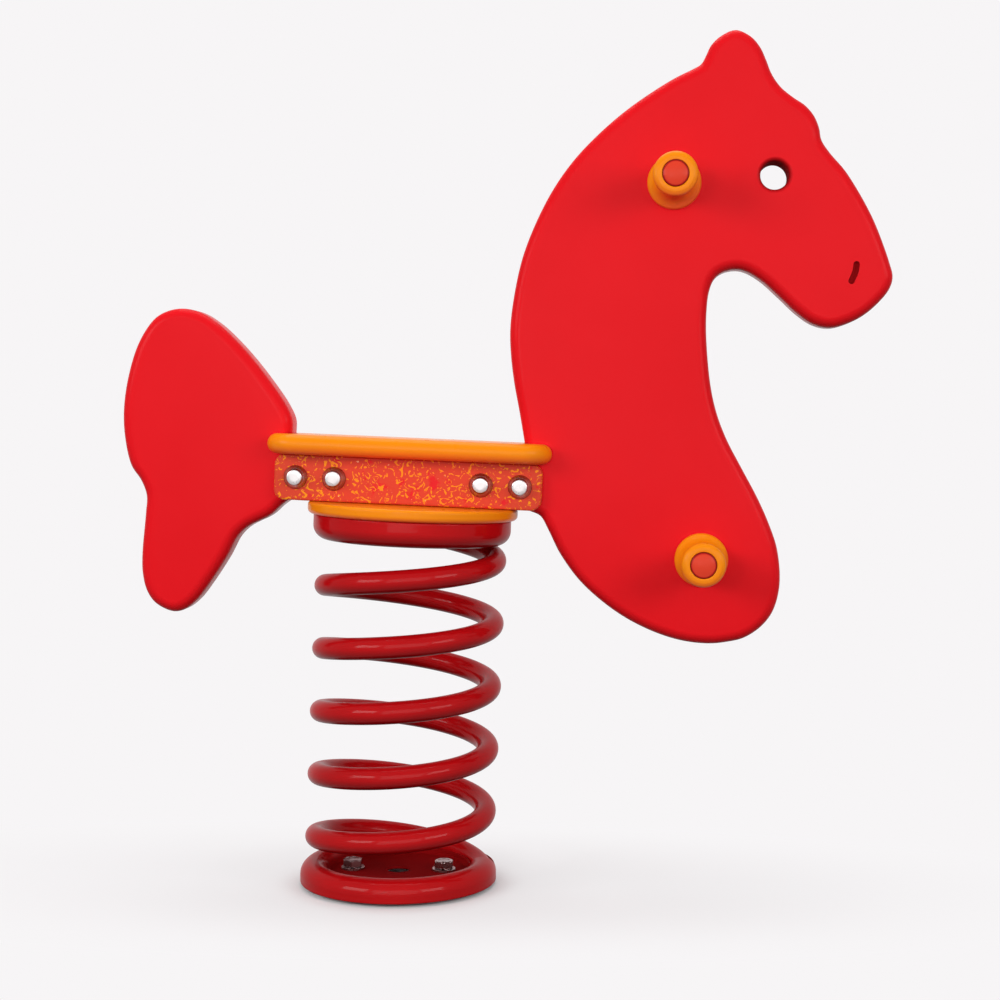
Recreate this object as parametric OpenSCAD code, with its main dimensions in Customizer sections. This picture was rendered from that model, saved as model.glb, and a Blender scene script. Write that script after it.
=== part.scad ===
// Spring rider: a horse figure of two thick panels with a saddle, on one coil spring.
// X points forward, Y to the far side, Z up. The origin is on the ground, in the middle of the base.

/* [Lean] */
// Angle that the figure leans forward at rest under its own weight, in degrees
lean = 2.4; // [0:0.1:4]

/* [Spring] */
// Outer diameter of the coil
spring_d = 194; // [170:1:220]
// Diameter of the wire
wire_d = 22; // [18:0.5:23]
// Height from the ground to the underside of the support disc
spring_h = 376.5; // [330:0.5:430]
// Turns that the wire climbs from one flat end to the other
climb_turns = 5.53; // [4:0.01:6]
// Turns of wire in each flat end
end_turns = 0.58; // [0.5:0.01:0.6]
// Direction in which the wire leaves the lower flat end, in degrees from forward
exit_angle = -10; // [-30:1:30]
// Gap between each flat end and what it lies on
end_gap = 0.3; // [0.2:0.1:0.8]

/* [Spring retainers] */
// Thickness of the pressed steel sheet
sheet_t = 2.5; // [2:0.1:4]
// Gap between the wire and the rim rolled over it
rim_gap = 0.8; // [0.7:0.1:1.2]
// Height of the floor's outer face above the open edge
floor_h = 13; // [11:0.5:16]
// Diameter of the hole in the middle of the floor
centre_hole_d = 24; // [16:1:40]
// Distance of each fixing hole from the middle
fixing_r = 47; // [40:1:55]
// Angle of the slot in the base's rim where the wire comes out, in degrees
base_opening = 152; // [150:1:160]
// Angle of the slot in the top's rim where the wire goes in, in degrees
top_opening = 160; // [158:1:170]

/* [Support disc] */
// Diameter of the disc
disc_d = 213; // [204:1:240]
// Thickness of the disc
disc_t = 12; // [10:0.5:20]
// Radius of its lower edge
disc_lower_r = 5; // [2:0.5:6]
// Radius of its upper edge
disc_upper_r = 3; // [1:0.5:4]

/* [Panels] */
// Thickness of the two panels
panel_t = 40; // [30:1:50]
// Radius of the panels' edges
edge_r = 10; // [4:0.5:12]
// Place of the back of the neck ahead of the middle
neck_x = 92; // [80:1:100]
// Reach of the head from the back of the neck to the muzzle
head_reach = 375; // [340:1:410]
// Height of the ears above the support disc
head_h = 482.5; // [440:0.5:530]
// Depth of the chest below the top of the support disc
chest_drop = 125; // [100:0.5:140]
// Place of the root of the tail behind the middle
tail_x = 122; // [118:1:128]
// Reach of the tail behind its root
tail_reach = 177.5; // [150:0.5:200]
// Height of the tail above the support disc
tail_rise = 189; // [170:0.5:220]
// Depth of the tail below the top of the support disc
tail_drop = 120; // [90:0.5:130]
// Gap between the two panels' tongues in the middle of the saddle
tongue_gap = 2; // [1:0.5:6]
// Diameter of the eye
eye_d = 28; // [20:0.5:34]
// Width of the bevel around the eye
eye_bevel = 4; // [1:0.5:6]
// Width of the nostril groove
nostril_w = 5.5; // [3:0.5:8]
// Depth of the nostril groove
nostril_depth = 4; // [2:0.5:8]

/* [Cheeks] */
// Length of each cheek
cheek_l = 270; // [256:1:290]
// Height of each cheek
cheek_h = 46.5; // [42:0.5:50]
// Thickness of each cheek
cheek_t = 9; // [6:0.5:14]
// Radius of the cheeks' corners
cheek_corner_r = 11; // [5:0.5:16]
// Radius of the cheeks' edges
cheek_edge_r = 2; // [1:0.25:2.5]
// Gap between the cheeks and the support disc
cheek_lift = 0.5; // [0.3:0.1:6]
// Distance of the outer bolts from the ends of the cheeks
bolt_inset = 22; // [18:0.5:26]
// Distance between the two bolts of a pair
bolt_step = 39; // [34:0.5:42]
// Place of the middle of the cheeks and the seat, behind the middle of the base
saddle_back = 3.4; // [0:0.1:6]

/* [Seat] */
// Length of the seat
seat_l = 286; // [276:1:300]
// Width of the seat
seat_w = 110; // [90:1:220]
// Thickness of the seat
seat_t = 20; // [16:0.5:23]
// Radius of the seat's corners
seat_corner_r = 30; // [24:1:40]
// Height of the flat band in the middle of the seat's round edge
seat_band = 1; // [0.5:0.5:4]

/* [Grips and foot rests] */
// Length of each grip from the panel to its end
grip_l = 70; // [60:1:110]
// Diameter of the flange against the panel
flange_d = 53; // [48:0.5:58]
// Diameter of the waist
waist_d = 33; // [31:0.5:36]
// Largest diameter near the end
grip_d = 41; // [38:0.5:46]
// Diameter of the recess in the end
recess_d = 27; // [26:0.5:29]
// Depth of the recess in the end
recess_depth = 19; // [18:0.5:24]
// Length of the plug in the recess, without its dome
cap_t = 4; // [3:0.5:5]
// Height of the plug's dome
cap_dome = 3; // [2:0.5:4]

/* [Fasteners] */
// Thread diameter of the base nuts and of the bolts under the saddle
fixing_d = 12; // [10:0.5:12]
// Thread diameter of the rods through the grips and foot rests
rod_d = 12; // [8:0.5:12]
// Thread diameter of the bolts through the cheeks
cheek_bolt_d = 10; // [8:0.5:12]
// Diameter of the safety nuts on the cheeks
cone_nut_d = 24; // [20:0.5:28]
// Height of the safety nuts on the cheeks
cone_nut_h = 9; // [8:0.5:12]
// Thread diameter of the seat screws
seat_screw_d = 8; // [6:0.5:9]
// Length of the seat screws
seat_screw_l = 50; // [40:1:56]
// Diameter of the barrel nuts in the tongues
barrel_d = 20; // [18:0.5:24]
// Length of the barrel nuts, put in from the far side
barrel_l = 26; // [22:1:30]
// Height of the barrel nuts above the support disc
barrel_rise = 22; // [18:0.5:26]
// Thickness of the washers
washer_t = 2.5; // [1.5:0.25:3]
// Added diameter of a hole that a bolt passes through
hole_room = 1; // [0.6:0.1:2]
// Gap around pieces that are pushed into a recess
fit_gap = 0.3; // [0.2:0.05:0.6]

/* [Hidden] */
$fn = 64;

// Colours
horse_red = [0.90, 0.13, 0.16];
saddle_orange = [0.98, 0.57, 0.08];
spring_red = [0.69, 0.07, 0.08];
bright_steel = [0.80, 0.81, 0.83];

// Every cut runs past the faces that it opens by this much
overrun = 1;
// What is planed off the faces of a board
planed = 0.05;

// Proportions of threaded fasteners, as shares of the thread diameter
hex_share = 1.5;
hex_h_share = 0.67;
washer_share = 2;
round_head_share = 2;
round_head_h_share = 0.55;
sink_share = 1.9;

// Spring
coil_r = (spring_d - wire_d) / 2;
wire_r = wire_d / 2;
low_z = end_gap + wire_r;
climb_h = spring_h - 2 * low_z;
// The first and last stretch of the climb ease out of and into the flat ends
low_ease_turns = 0.27;
high_ease_turns = 0.5;
low_rise_share = 0.048;
high_rise_share = 0.088;
even_turns = climb_turns - low_ease_turns - high_ease_turns;
even_h = climb_h * (1 - low_rise_share - high_rise_share);
pitch = even_h / even_turns;
rings_per_turn = 28;
wire_sides = 12;

// Retainers
channel_r = wire_r + rim_gap;
rim_r = channel_r + sheet_t;
rim_outer_r = coil_r + rim_r;
fixing_hole_d = fixing_d + hole_room;
top_angle = exit_angle + 360 * climb_turns;

// Heights of the rider's pieces
saddle_z = spring_h + disc_t;
cheek_z = saddle_z + cheek_lift;
seat_z = cheek_z + cheek_h;
bolt_z = cheek_z + cheek_h / 2;
barrel_z = saddle_z + barrel_rise;
cheek_y = panel_t / 2;

// Places along the saddle
bolt_half = cheek_l / 2 - bolt_inset;
bolt_xs = [
    -saddle_back - bolt_half, -saddle_back - bolt_half + bolt_step,
    -saddle_back + bolt_half - bolt_step, -saddle_back + bolt_half
];
pair_half = bolt_half - bolt_step / 2;
inner_screw_x = fixing_r / 2;
screw_xs = [-saddle_back - pair_half, -inner_screw_x, inner_screw_x, -saddle_back + pair_half];

// Grips
flange_r = flange_d / 2;
waist_r = waist_d / 2;
grip_r = grip_d / 2;
cap_r = recess_d / 2 - fit_gap;
recess_floor = grip_l - recess_depth;
nut_h = rod_d * hex_h_share;
rod_end = recess_floor + washer_t + nut_h;

// Outline of the head, neck and chest, from the tongue's lower edge round to its upper edge.
// Forward share of head_reach, and height share of head_h, or of chest_drop where it is negative.
front_shares = [
    [0.072, 0], [0.102, -0.04], [0.126, -0.154], [0.158, -0.33], [0.213, -0.54], [0.28, -0.71],
    [0.35, -0.84], [0.43, -0.94], [0.5, -0.99], [0.567, -1], [0.613, -0.98], [0.658, -0.94],
    [0.703, -0.84], [0.732, -0.71], [0.746, -0.5], [0.735, -0.22], [0.71, -0.02], [0.676, 0.048],
    [0.632, 0.106], [0.588, 0.165], [0.559, 0.217], [0.539, 0.274], [0.522, 0.37], [0.519, 0.425],
    [0.523, 0.467], [0.535, 0.493], [0.555, 0.507], [0.588, 0.514], [0.616, 0.511], [0.657, 0.494],
    [0.707, 0.462], [0.756, 0.429], [0.8, 0.408], [0.843, 0.402], [0.885, 0.411], [0.927, 0.429],
    [0.965, 0.456], [0.993, 0.486], [1, 0.511], [0.99, 0.538], [0.971, 0.576], [0.941, 0.627],
    [0.905, 0.675], [0.862, 0.723], [0.82, 0.758], [0.797, 0.783], [0.79, 0.806], [0.775, 0.831],
    [0.75, 0.852], [0.719, 0.867], [0.684, 0.888], [0.659, 0.914], [0.644, 0.94], [0.626, 0.967],
    [0.6, 0.988], [0.56, 1], [0.524, 0.988], [0.498, 0.968], [0.485, 0.945], [0.474, 0.929],
    [0.454, 0.919], [0.408, 0.9], [0.349, 0.87], [0.284, 0.832], [0.219, 0.786], [0.154, 0.73],
    [0.103, 0.671], [0.06, 0.602], [0.026, 0.526], [0.007, 0.446], [0, 0.375], [0.005, 0.32],
    [0.017, 0.263], [0.034, 0.205]
];
// Place of the neck's back where it meets the seat
neck_root_share = 0.052;
// Outline of the tail, from the tongue's upper edge round to its lower edge.
// Backward share of tail_reach, and height share of tail_rise, or of tail_drop where it is negative.
tail_shares = [
    [0.018, 0.431], [0.063, 0.515], [0.156, 0.632], [0.262, 0.749], [0.366, 0.848],
    [0.47, 0.93], [0.573, 0.984], [0.675, 1], [0.761, 0.984], [0.835, 0.941],
    [0.919, 0.819], [0.975, 0.645], [1, 0.45], [0.987, 0.291], [0.944, 0.144], [0.884, 0.066],
    [0.85, -0.02], [0.852, -0.17], [0.865, -0.53], [0.859, -0.685], [0.83, -0.835],
    [0.777, -0.936], [0.676, -1], [0.612, -0.983], [0.538, -0.895], [0.466, -0.747],
    [0.37, -0.511], [0.311, -0.335], [0.251, -0.245], [0.127, -0.142], [0.062, -0.05], [0.02, 0]
];
// Place of the tail's front where it meets the seat
tail_root_share = 0.015;
// Places on the front panel, in the same shares as its outline
hand_grip_share = [0.418, 0.685];
foot_rest_share = [0.535, -0.326];
eye_share = [0.679, 0.707];
nostril_shares = [[0.902, 0.54], [0.909, 0.524], [0.891, 0.495]];
// Profile of a grip: share of its length, then share of the swell from the waist to the flange or end
foot_shares = [
    [0, 1], [0.035, 1], [0.06, 0.93], [0.085, 0.74], [0.12, 0.5], [0.18, 0.25], [0.28, 0.06]
];
end_shares = [
    [0.42, 0], [0.58, 0.12], [0.72, 0.45], [0.83, 0.82], [0.9, 1], [0.94, 0.98], [0.975, 0.74], [1, 0.2]
];

spline_steps = 3;
edge_steps = 3;
corner_steps = 6;
square_r_share = 0.1;

// Curves

// Point at share u of the way from p1 to p2 on a smooth curve through p0, p1, p2 and p3
function curve_point(p0, p1, p2, p3, u) =
    let (
        d1 = pow(norm(p1 - p0), 0.5),
        d2 = pow(norm(p2 - p1), 0.5),
        d3 = pow(norm(p3 - p2), 0.5),
        m1 = (p2 - p1) + d2 * ((p1 - p0) / d1 - (p2 - p0) / (d1 + d2)),
        m2 = (p2 - p1) + d2 * ((p3 - p2) / d3 - (p3 - p1) / (d2 + d3))
    )
    (2 * (p1 - p2) + m1 + m2) * pow(u, 3) + (3 * (p2 - p1) - 2 * m1 - m2) * pow(u, 2) + m1 * u + p1;

// Smooth curve through a list of points, from the first to the last
function smooth_curve(points, steps) =
    let (
        last = len(points) - 1,
        before = 2 * points[0] - points[1],
        after = 2 * points[last] - points[last - 1],
        all = concat([before], points, [after])
    )
    concat(
        [for (i = [0:last - 1], k = [0:steps - 1])
            curve_point(all[i], all[i + 1], all[i + 2], all[i + 3], k / steps)],
        [points[last]]
    );

// Points of an arc around a centre
function arc_points(centre, r, from, to, steps) =
    [for (k = [0:steps]) let (a = from + (to - from) * k / steps) centre + r * [cos(a), sin(a)]];

// Rectangle with round corners, in the middle of the plane
function round_rectangle(l, w, r) =
    let (x = l / 2 - r, y = w / 2 - r)
    concat(
        arc_points([x, -y], r, -90, 0, corner_steps),
        arc_points([x, y], r, 0, 90, corner_steps),
        arc_points([-x, y], r, 90, 180, corner_steps),
        arc_points([-x, -y], r, 180, 270, corner_steps)
    );

// Outward direction at a corner of a closed outline that runs anticlockwise
function outward(points, i) =
    let (
        n = len(points),
        a = points[i] - points[(i + n - 1) % n],
        b = points[(i + 1) % n] - points[i],
        d = a / norm(a) + b / norm(b)
    )
    [d[1], -d[0]] / norm(d);

// Board with the given outline, its edge rounded by each corner's own radius and its faces planed flat
module soft_board(points, radii, t) {
    n = len(points);
    angles = [for (k = [0:edge_steps]) 90 * k / edge_steps];
    // Each ring of corners: shares of the edge radius that it lies in and down, and how far past the face
    lower = concat([[1, 0, overrun]], [for (a = angles) [1 - sin(a), 1 - cos(a), planed]]);
    rings = [for (j = [0:2 * len(lower) - 1]) lower[min(j, 2 * len(lower) - 1 - j)]];
    last = len(rings) - 1;
    corners = [
        for (j = [0:last], i = [0:n - 1])
            let (
                p = points[i] - radii[i] * rings[j][0] * outward(points, i),
                up = t / 2 + rings[j][2] - radii[i] * rings[j][1]
            )
            [p[0], p[1], 2 * j < last ? -up : up]
    ];
    sides = [
        for (j = [0:last - 1], i = [0:n - 1], half = [0, 1])
            let (a = j * n + i, b = j * n + (i + 1) % n, c = b + n, d = a + n)
            half == 0 ? [a, d, c] : [a, c, b]
    ];
    ends = [[for (i = [0:n - 1]) i], [for (i = [n - 1:-1:0]) last * n + i]];
    low = [for (axis = [0, 1]) min([for (p = points) p[axis]]) - overrun];
    high = [for (axis = [0, 1]) max([for (p = points) p[axis]]) + overrun];
    intersection() {
        polyhedron(corners, concat(sides, ends));
        translate([low[0], low[1], -t / 2]) cube([high[0] - low[0], high[1] - low[1], t]);
    }
}

// Place on the front panel from its shares
function front_place(s) = [neck_x + head_reach * s[0], saddle_z + s[1] * (s[1] < 0 ? chest_drop : head_h)];
// Place on the tail from its shares
function tail_place(s) = [-tail_x - tail_reach * s[0], saddle_z + s[1] * (s[1] < 0 ? tail_drop : tail_rise)];

neck_root = [neck_x + head_reach * neck_root_share, seat_z + seat_t];
tail_root = [-tail_x - tail_reach * tail_root_share, seat_z + seat_t];
front_curve = smooth_curve(concat([for (s = front_shares) front_place(s)], [neck_root]), spline_steps);
tail_curve = smooth_curve(concat([tail_root], [for (s = tail_shares) tail_place(s)]), spline_steps);
hand_grip_place = front_place(hand_grip_share);
foot_rest_place = front_place(foot_rest_share);
eye_place = front_place(eye_share);
nostril_places = [for (s = nostril_shares) front_place(s)];

// Height of the wire's middle at an angle along the wire
function wire_height(a) =
    let (u = (a - exit_angle) / 360, low_h = climb_h * low_rise_share, high_h = climb_h * high_rise_share)
    u <= 0 ? low_z :
    u < low_ease_turns ? low_z + eased(u / low_ease_turns, low_h, 0, pitch * low_ease_turns) :
    u < low_ease_turns + even_turns ? low_z + low_h + pitch * (u - low_ease_turns) :
    u < climb_turns ? low_z + low_h + even_h
        + eased((u - low_ease_turns - even_turns) / high_ease_turns, high_h, pitch * high_ease_turns, 0) :
    low_z + climb_h;

// Rise at share t of a stretch that starts and ends at the given slopes
function eased(t, rise, slope_in, slope_out) =
    let (t2 = t * t, t3 = t * t * t)
    rise * (3 * t2 - 2 * t3) + slope_in * (t - 2 * t2 + t3) + slope_out * (t3 - t2);

// Share of the lean that the wire has taken up at an angle along it
function lean_share(a) =
    let (t = min(1, max(0, (a - exit_angle) / (360 * low_ease_turns))))
    t * t * (3 - 2 * t);

// A point turned about the Y axis
function turned(p, a) = [p[0] * cos(a) + p[2] * sin(a), p[1], p[2] * cos(a) - p[0] * sin(a)];

// The wire's middle line
wire_from = exit_angle - 360 * end_turns;
wire_to = top_angle + 360 * end_turns;
wire_rings = ceil((wire_to - wire_from) / 360 * rings_per_turn);
wire_angles = [for (i = [0:wire_rings]) wire_from + (wire_to - wire_from) * i / wire_rings];
function wire_point(a) =
    turned([coil_r * cos(a), coil_r * sin(a), wire_height(a)], lean * lean_share(a));
wire_points = [for (a = wire_angles) wire_point(a)];

// Least gap of the wire to itself, between points at least half a turn apart
half_turn_rings = floor(rings_per_turn / 2);
spring_gap = min([
    for (i = [0:wire_rings - half_turn_rings], j = [i + half_turn_rings:wire_rings])
        norm(wire_points[i] - wire_points[j])
]) - wire_d;
echo(str("Least gap of the spring to itself: ", spring_gap, " mm"));

// Shapes that repeat

// The rider's pieces lean together
module leaned() {
    rotate([0, lean, 0]) children();
}

// Turns a shape that stands on the ground to point out of one side: -1 near, 1 far
module sideways(side) {
    rotate([-side * 90, 0, 0]) children();
}

// Both fixing places of a retainer
module at_fixings() {
    for (side = [-1, 1]) translate([side * fixing_r, 0, 0]) children();
}

// Pressed dish with its open edge down, its rim rolled over the wire. A slot in the roll lets the wire out.
module retainer(opening_from, opening_to) {
    middle = [coil_r, low_z];
    floor_a = 180 - asin((floor_h - low_z) / rim_r);
    under_a = 180 - asin((floor_h - sheet_t - low_z) / channel_r);
    rim_steps = 16;
    opening_steps = 24;
    slot_half = channel_r + fit_gap;
    difference() {
        rotate_extrude() polygon(concat(
            [[rim_outer_r, 0]],
            arc_points(middle, rim_r, 0, floor_a, rim_steps),
            [[0, floor_h], [0, floor_h - sheet_t]],
            arc_points(middle, channel_r, under_a, 0, rim_steps),
            [[coil_r + channel_r, 0]]
        ));
        translate([0, 0, -overrun]) cylinder(d = centre_hole_d, h = floor_h + 2 * overrun);
        at_fixings() translate([0, 0, -overrun]) cylinder(d = fixing_hole_d, h = floor_h + 2 * overrun);
        translate([0, 0, -overrun])
            linear_extrude(low_z + rim_r + 2 * overrun)
                polygon(concat(
                    arc_points([0, 0], coil_r - slot_half, opening_from, opening_to, opening_steps),
                    arc_points([0, 0], coil_r + slot_half, opening_to, opening_from, opening_steps)
                ));
    }
}

// Washer that lies on the ground
module washer(d) {
    difference() {
        cylinder(d = d * washer_share, h = washer_t);
        translate([0, 0, -overrun]) cylinder(d = d + hole_room, h = washer_t + 2 * overrun);
    }
}

// Six-sided prism of a nut or bolt head
module hexagon(d, h) {
    cylinder(d = d * hex_share / cos(30), h = h, $fn = 6);
}

// Moulded handle that stands on the ground, hollow for its rod and its plug
module grip() {
    profile = concat(
        [for (s = foot_shares) [waist_r + (flange_r - waist_r) * s[1], grip_l * s[0]]],
        [for (s = end_shares) [waist_r + (grip_r - waist_r) * s[1], grip_l * s[0]]]
    );
    difference() {
        rotate_extrude() polygon(concat([[0, 0]], smooth_curve(profile, spline_steps), [[0, grip_l]]));
        translate([0, 0, -overrun]) cylinder(d = rod_d + hole_room, h = grip_l + 2 * overrun);
        translate([0, 0, recess_floor]) cylinder(d = recess_d, h = recess_depth + overrun);
    }
}

// Round plug with a low dome, pushed into the end of a grip as far as the rod's end
module cap() {
    dome_r = (cap_r * cap_r + cap_dome * cap_dome) / (2 * cap_dome);
    translate([0, 0, grip_l - cap_t]) intersection() {
        cylinder(r = cap_r, h = cap_t + cap_dome);
        translate([0, 0, cap_t + cap_dome - dome_r]) sphere(r = dome_r);
    }
}

// Nut on the end of a rod
module rod_nut() {
    translate([0, 0, recess_floor + washer_t]) difference() {
        hexagon(rod_d, nut_h);
        translate([0, 0, -overrun]) cylinder(d = rod_d, h = nut_h + 2 * overrun);
    }
}

// Rod through both grips and the panel, up to the outer faces of its nuts
module rod(place) {
    half_l = panel_t / 2 + rod_end;
    leaned() translate([place[0], half_l, place[1]]) rotate([90, 0, 0]) cylinder(d = rod_d, h = 2 * half_l);
}

// Puts a shape on one face of the front panel
module on_panel(place, side) {
    leaned() translate([place[0], side * panel_t / 2, place[1]]) sideways(side) children();
}

// Bore across both panels and cheeks
module cross_bore(x, z, d) {
    translate([x, cheek_y + cheek_t + overrun, z])
        rotate([90, 0, 0])
            cylinder(d = d, h = 2 * (cheek_y + cheek_t + overrun));
}

// Bores that fasten a tongue: cheek bolts, saddle bolts with their barrel nuts, and seat screws
module tongue_bores() {
    for (x = bolt_xs) cross_bore(x, bolt_z, cheek_bolt_d + hole_room);
    at_fixings() {
        translate([0, cheek_y + overrun, barrel_z])
            rotate([90, 0, 0])
                cylinder(d = barrel_d + 2 * fit_gap, h = cheek_y + barrel_l / 2 + fit_gap + overrun);
        translate([0, 0, saddle_z - overrun]) cylinder(d = fixing_hole_d, h = barrel_rise + overrun);
    }
    for (x = screw_xs)
        translate([x, 0, seat_z + seat_t - seat_screw_l - overrun])
            cylinder(d = seat_screw_d + hole_room, h = seat_screw_l);
}

// Board that stands along the saddle, its tongue between the cheeks with square edges
module panel(curve, tongue) {
    points = concat(curve, tongue);
    square_r = edge_r * square_r_share;
    radii = [for (p = points) between_cheeks(p) ? square_r : edge_r];
    rotate([90, 0, 0]) soft_board(points, radii, panel_t);
}

// Whether a point of a panel's outline lies between the cheeks
function between_cheeks(p) =
    p[1] >= saddle_z && p[1] <= seat_z && abs(p[0] + saddle_back) <= cheek_l / 2;

// Outline of a groove along three places, with round ends
function groove_outline(places, r) =
    let (
        first = places[1] - places[0],
        second = places[2] - places[1],
        a = atan2(first[1], first[0]),
        b = atan2(second[1], second[0]),
        middle = (a + b) / 2,
        bend = r / cos((b - a) / 2) * [-sin(middle), cos(middle)]
    )
    concat(
        arc_points(places[0], r, a + 90, a + 270, corner_steps),
        [places[1] - bend],
        arc_points(places[2], r, b - 90, b + 90, corner_steps),
        [places[1] + bend]
    );

// Groove of the nostril on one face of the head
module nostril(side) {
    translate([0, side * (panel_t / 2 + overrun), 0])
        rotate([90, 0, 0])
            translate([0, 0, side > 0 ? 0 : -nostril_depth - overrun])
                linear_extrude(nostril_depth + overrun)
                    polygon(groove_outline(nostril_places, nostril_w / 2));
}

// Notches in the ends of the seat for the two panels
module seat_notches() {
    notch_w = panel_t + 2 * fit_gap;
    for (from = [neck_root[0] - fit_gap, tail_root[0] + fit_gap - seat_l])
        translate([from, -notch_w / 2, seat_z - overrun])
            cube([seat_l, notch_w, seat_t + 2 * overrun]);
}

// Side board of the saddle
module cheek(side) {
    points = round_rectangle(cheek_l, cheek_h, cheek_corner_r);
    radii = [for (p = points) cheek_edge_r];
    color(saddle_orange) leaned() difference() {
        translate([-saddle_back, side * (cheek_y + cheek_t / 2), bolt_z])
            rotate([90, 0, 0])
                soft_board(points, radii, cheek_t);
        for (x = bolt_xs) cross_bore(x, bolt_z, cheek_bolt_d + hole_room);
    }
}

// Base

module base_retainer() {
    color(spring_red) retainer(exit_angle, exit_angle + base_opening);
}

module base_washers() {
    color(bright_steel) at_fixings() translate([0, 0, floor_h]) washer(fixing_d);
}

// Closed nuts that take the ground anchor's studs from below
module base_nuts() {
    nut_height = fixing_d * hex_h_share;
    color(bright_steel) at_fixings() translate([0, 0, floor_h + washer_t]) difference() {
        hexagon(fixing_d, nut_height);
        translate([0, 0, -overrun]) cylinder(d = fixing_d, h = nut_height - washer_t + overrun);
    }
}

// Spring

module spring() {
    // Sides of the wire, ring by ring, on a frame that points away from the coil's middle
    corners = [
        for (i = [0:wire_rings])
            let (
                a = wire_angles[i],
                before = wire_point(a - 1),
                after = wire_point(a + 1),
                along = (after - before) / norm(after - before),
                radial = turned([cos(a), sin(a), 0], lean * lean_share(a)),
                square = radial - (radial * along) * along,
                out = square / norm(square),
                up = cross(out, along)
            )
            for (k = [0:wire_sides - 1])
                let (b = 360 * k / wire_sides)
                wire_points[i] + wire_r * (cos(b) * out + sin(b) * up)
    ];
    sides = [
        for (i = [0:wire_rings - 1], k = [0:wire_sides - 1], half = [0, 1])
            let (
                a = i * wire_sides + k,
                b = i * wire_sides + (k + 1) % wire_sides,
                c = b + wire_sides,
                d = a + wire_sides
            )
            half == 0 ? [a, b, c] : [a, c, d]
    ];
    last = wire_rings * wire_sides;
    ends = [
        for (k = [1:wire_sides - 2], half = [0, 1])
            half == 0 ? [0, k + 1, k] : [last, last + k, last + k + 1]
    ];
    color(spring_red) polyhedron(corners, concat(sides, ends));
}

// Top of the spring

module top_retainer() {
    color(spring_red) leaned() translate([0, 0, spring_h]) mirror([0, 0, 1])
        retainer(top_angle - top_opening, top_angle);
}

module top_washers() {
    color(bright_steel) leaned() at_fixings()
        translate([0, 0, spring_h - floor_h - washer_t])
            washer(fixing_d);
}

module top_bolts() {
    head_h_top = fixing_d * hex_h_share;
    head_z = spring_h - floor_h - washer_t;
    // The threads end where they leave the round back of the barrel nut
    end_z = barrel_z + sqrt(barrel_d * barrel_d - fixing_d * fixing_d) / 2;
    color(bright_steel) leaned() at_fixings() {
        translate([0, 0, head_z - head_h_top]) hexagon(fixing_d, head_h_top);
        translate([0, 0, head_z]) cylinder(d = fixing_d, h = end_z - head_z);
    }
}

module barrel_nuts() {
    color(bright_steel) leaned() at_fixings() difference() {
        translate([0, barrel_l / 2, barrel_z])
            rotate([90, 0, 0])
                cylinder(d = barrel_d, h = barrel_l);
        translate([0, 0, barrel_z - barrel_d]) cylinder(d = fixing_d, h = 2 * barrel_d);
    }
}

module support_disc() {
    disc_r = disc_d / 2;
    color(saddle_orange) leaned() translate([0, 0, spring_h]) difference() {
        rotate_extrude() polygon(concat(
            [[0, 0]],
            arc_points([disc_r - disc_lower_r, disc_lower_r], disc_lower_r, -90, 0, corner_steps),
            arc_points([disc_r - disc_upper_r, disc_t - disc_upper_r], disc_upper_r, 0, 90, corner_steps),
            [[0, disc_t]]
        ));
        at_fixings() translate([0, 0, -overrun]) cylinder(d = fixing_hole_d, h = disc_t + 2 * overrun);
    }
}

// Figure

module front_panel() {
    color(horse_red) leaned() difference() {
        panel(
            front_curve,
            [[neck_root[0], seat_z], [tongue_gap / 2, seat_z], [tongue_gap / 2, saddle_z]]
        );
        tongue_bores();
        for (place = [hand_grip_place, foot_rest_place]) cross_bore(place[0], place[1], rod_d + hole_room);
        cross_bore(eye_place[0], eye_place[1], eye_d);
        for (side = [-1, 1])
            translate([eye_place[0], side * (panel_t / 2 - eye_bevel), eye_place[1]])
                sideways(side)
                    cylinder(d1 = eye_d, d2 = eye_d + 4 * eye_bevel, h = 2 * eye_bevel);
        nostril(-1);
        nostril(1);
    }
}

module tail_panel() {
    color(horse_red) leaned() difference() {
        panel(
            tail_curve,
            [[-tongue_gap / 2, saddle_z], [-tongue_gap / 2, seat_z], [tail_root[0], seat_z]]
        );
        tongue_bores();
    }
}

// Saddle

module cheek_near() {
    cheek(-1);
}

module cheek_far() {
    cheek(1);
}

module cheek_bolts() {
    head_r = cheek_bolt_d * round_head_share / 2;
    head_h_far = cheek_bolt_d * round_head_h_share;
    dome_r = (head_r * head_r + head_h_far * head_h_far) / (2 * head_h_far);
    outer_y = cheek_y + cheek_t;
    color(bright_steel) leaned() for (x = bolt_xs) translate([x, 0, bolt_z]) {
        translate([0, outer_y, 0])
            rotate([90, 0, 0])
                cylinder(d = cheek_bolt_d, h = 2 * outer_y + cone_nut_h / 2);
        translate([0, outer_y, 0]) sideways(1) intersection() {
            cylinder(r = head_r, h = head_h_far);
            translate([0, 0, head_h_far - dome_r]) sphere(r = dome_r);
        }
    }
}

// Cone-shaped nuts, closed at their flat tops
module cheek_nuts() {
    top_share = 0.6;
    color(bright_steel) leaned() for (x = bolt_xs)
        translate([x, -cheek_y - cheek_t, bolt_z]) sideways(-1) difference() {
            cylinder(d1 = cone_nut_d, d2 = cone_nut_d * top_share, h = cone_nut_h);
            translate([0, 0, -overrun]) cylinder(d = cheek_bolt_d, h = cone_nut_h / 2 + overrun);
        }
}

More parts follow.
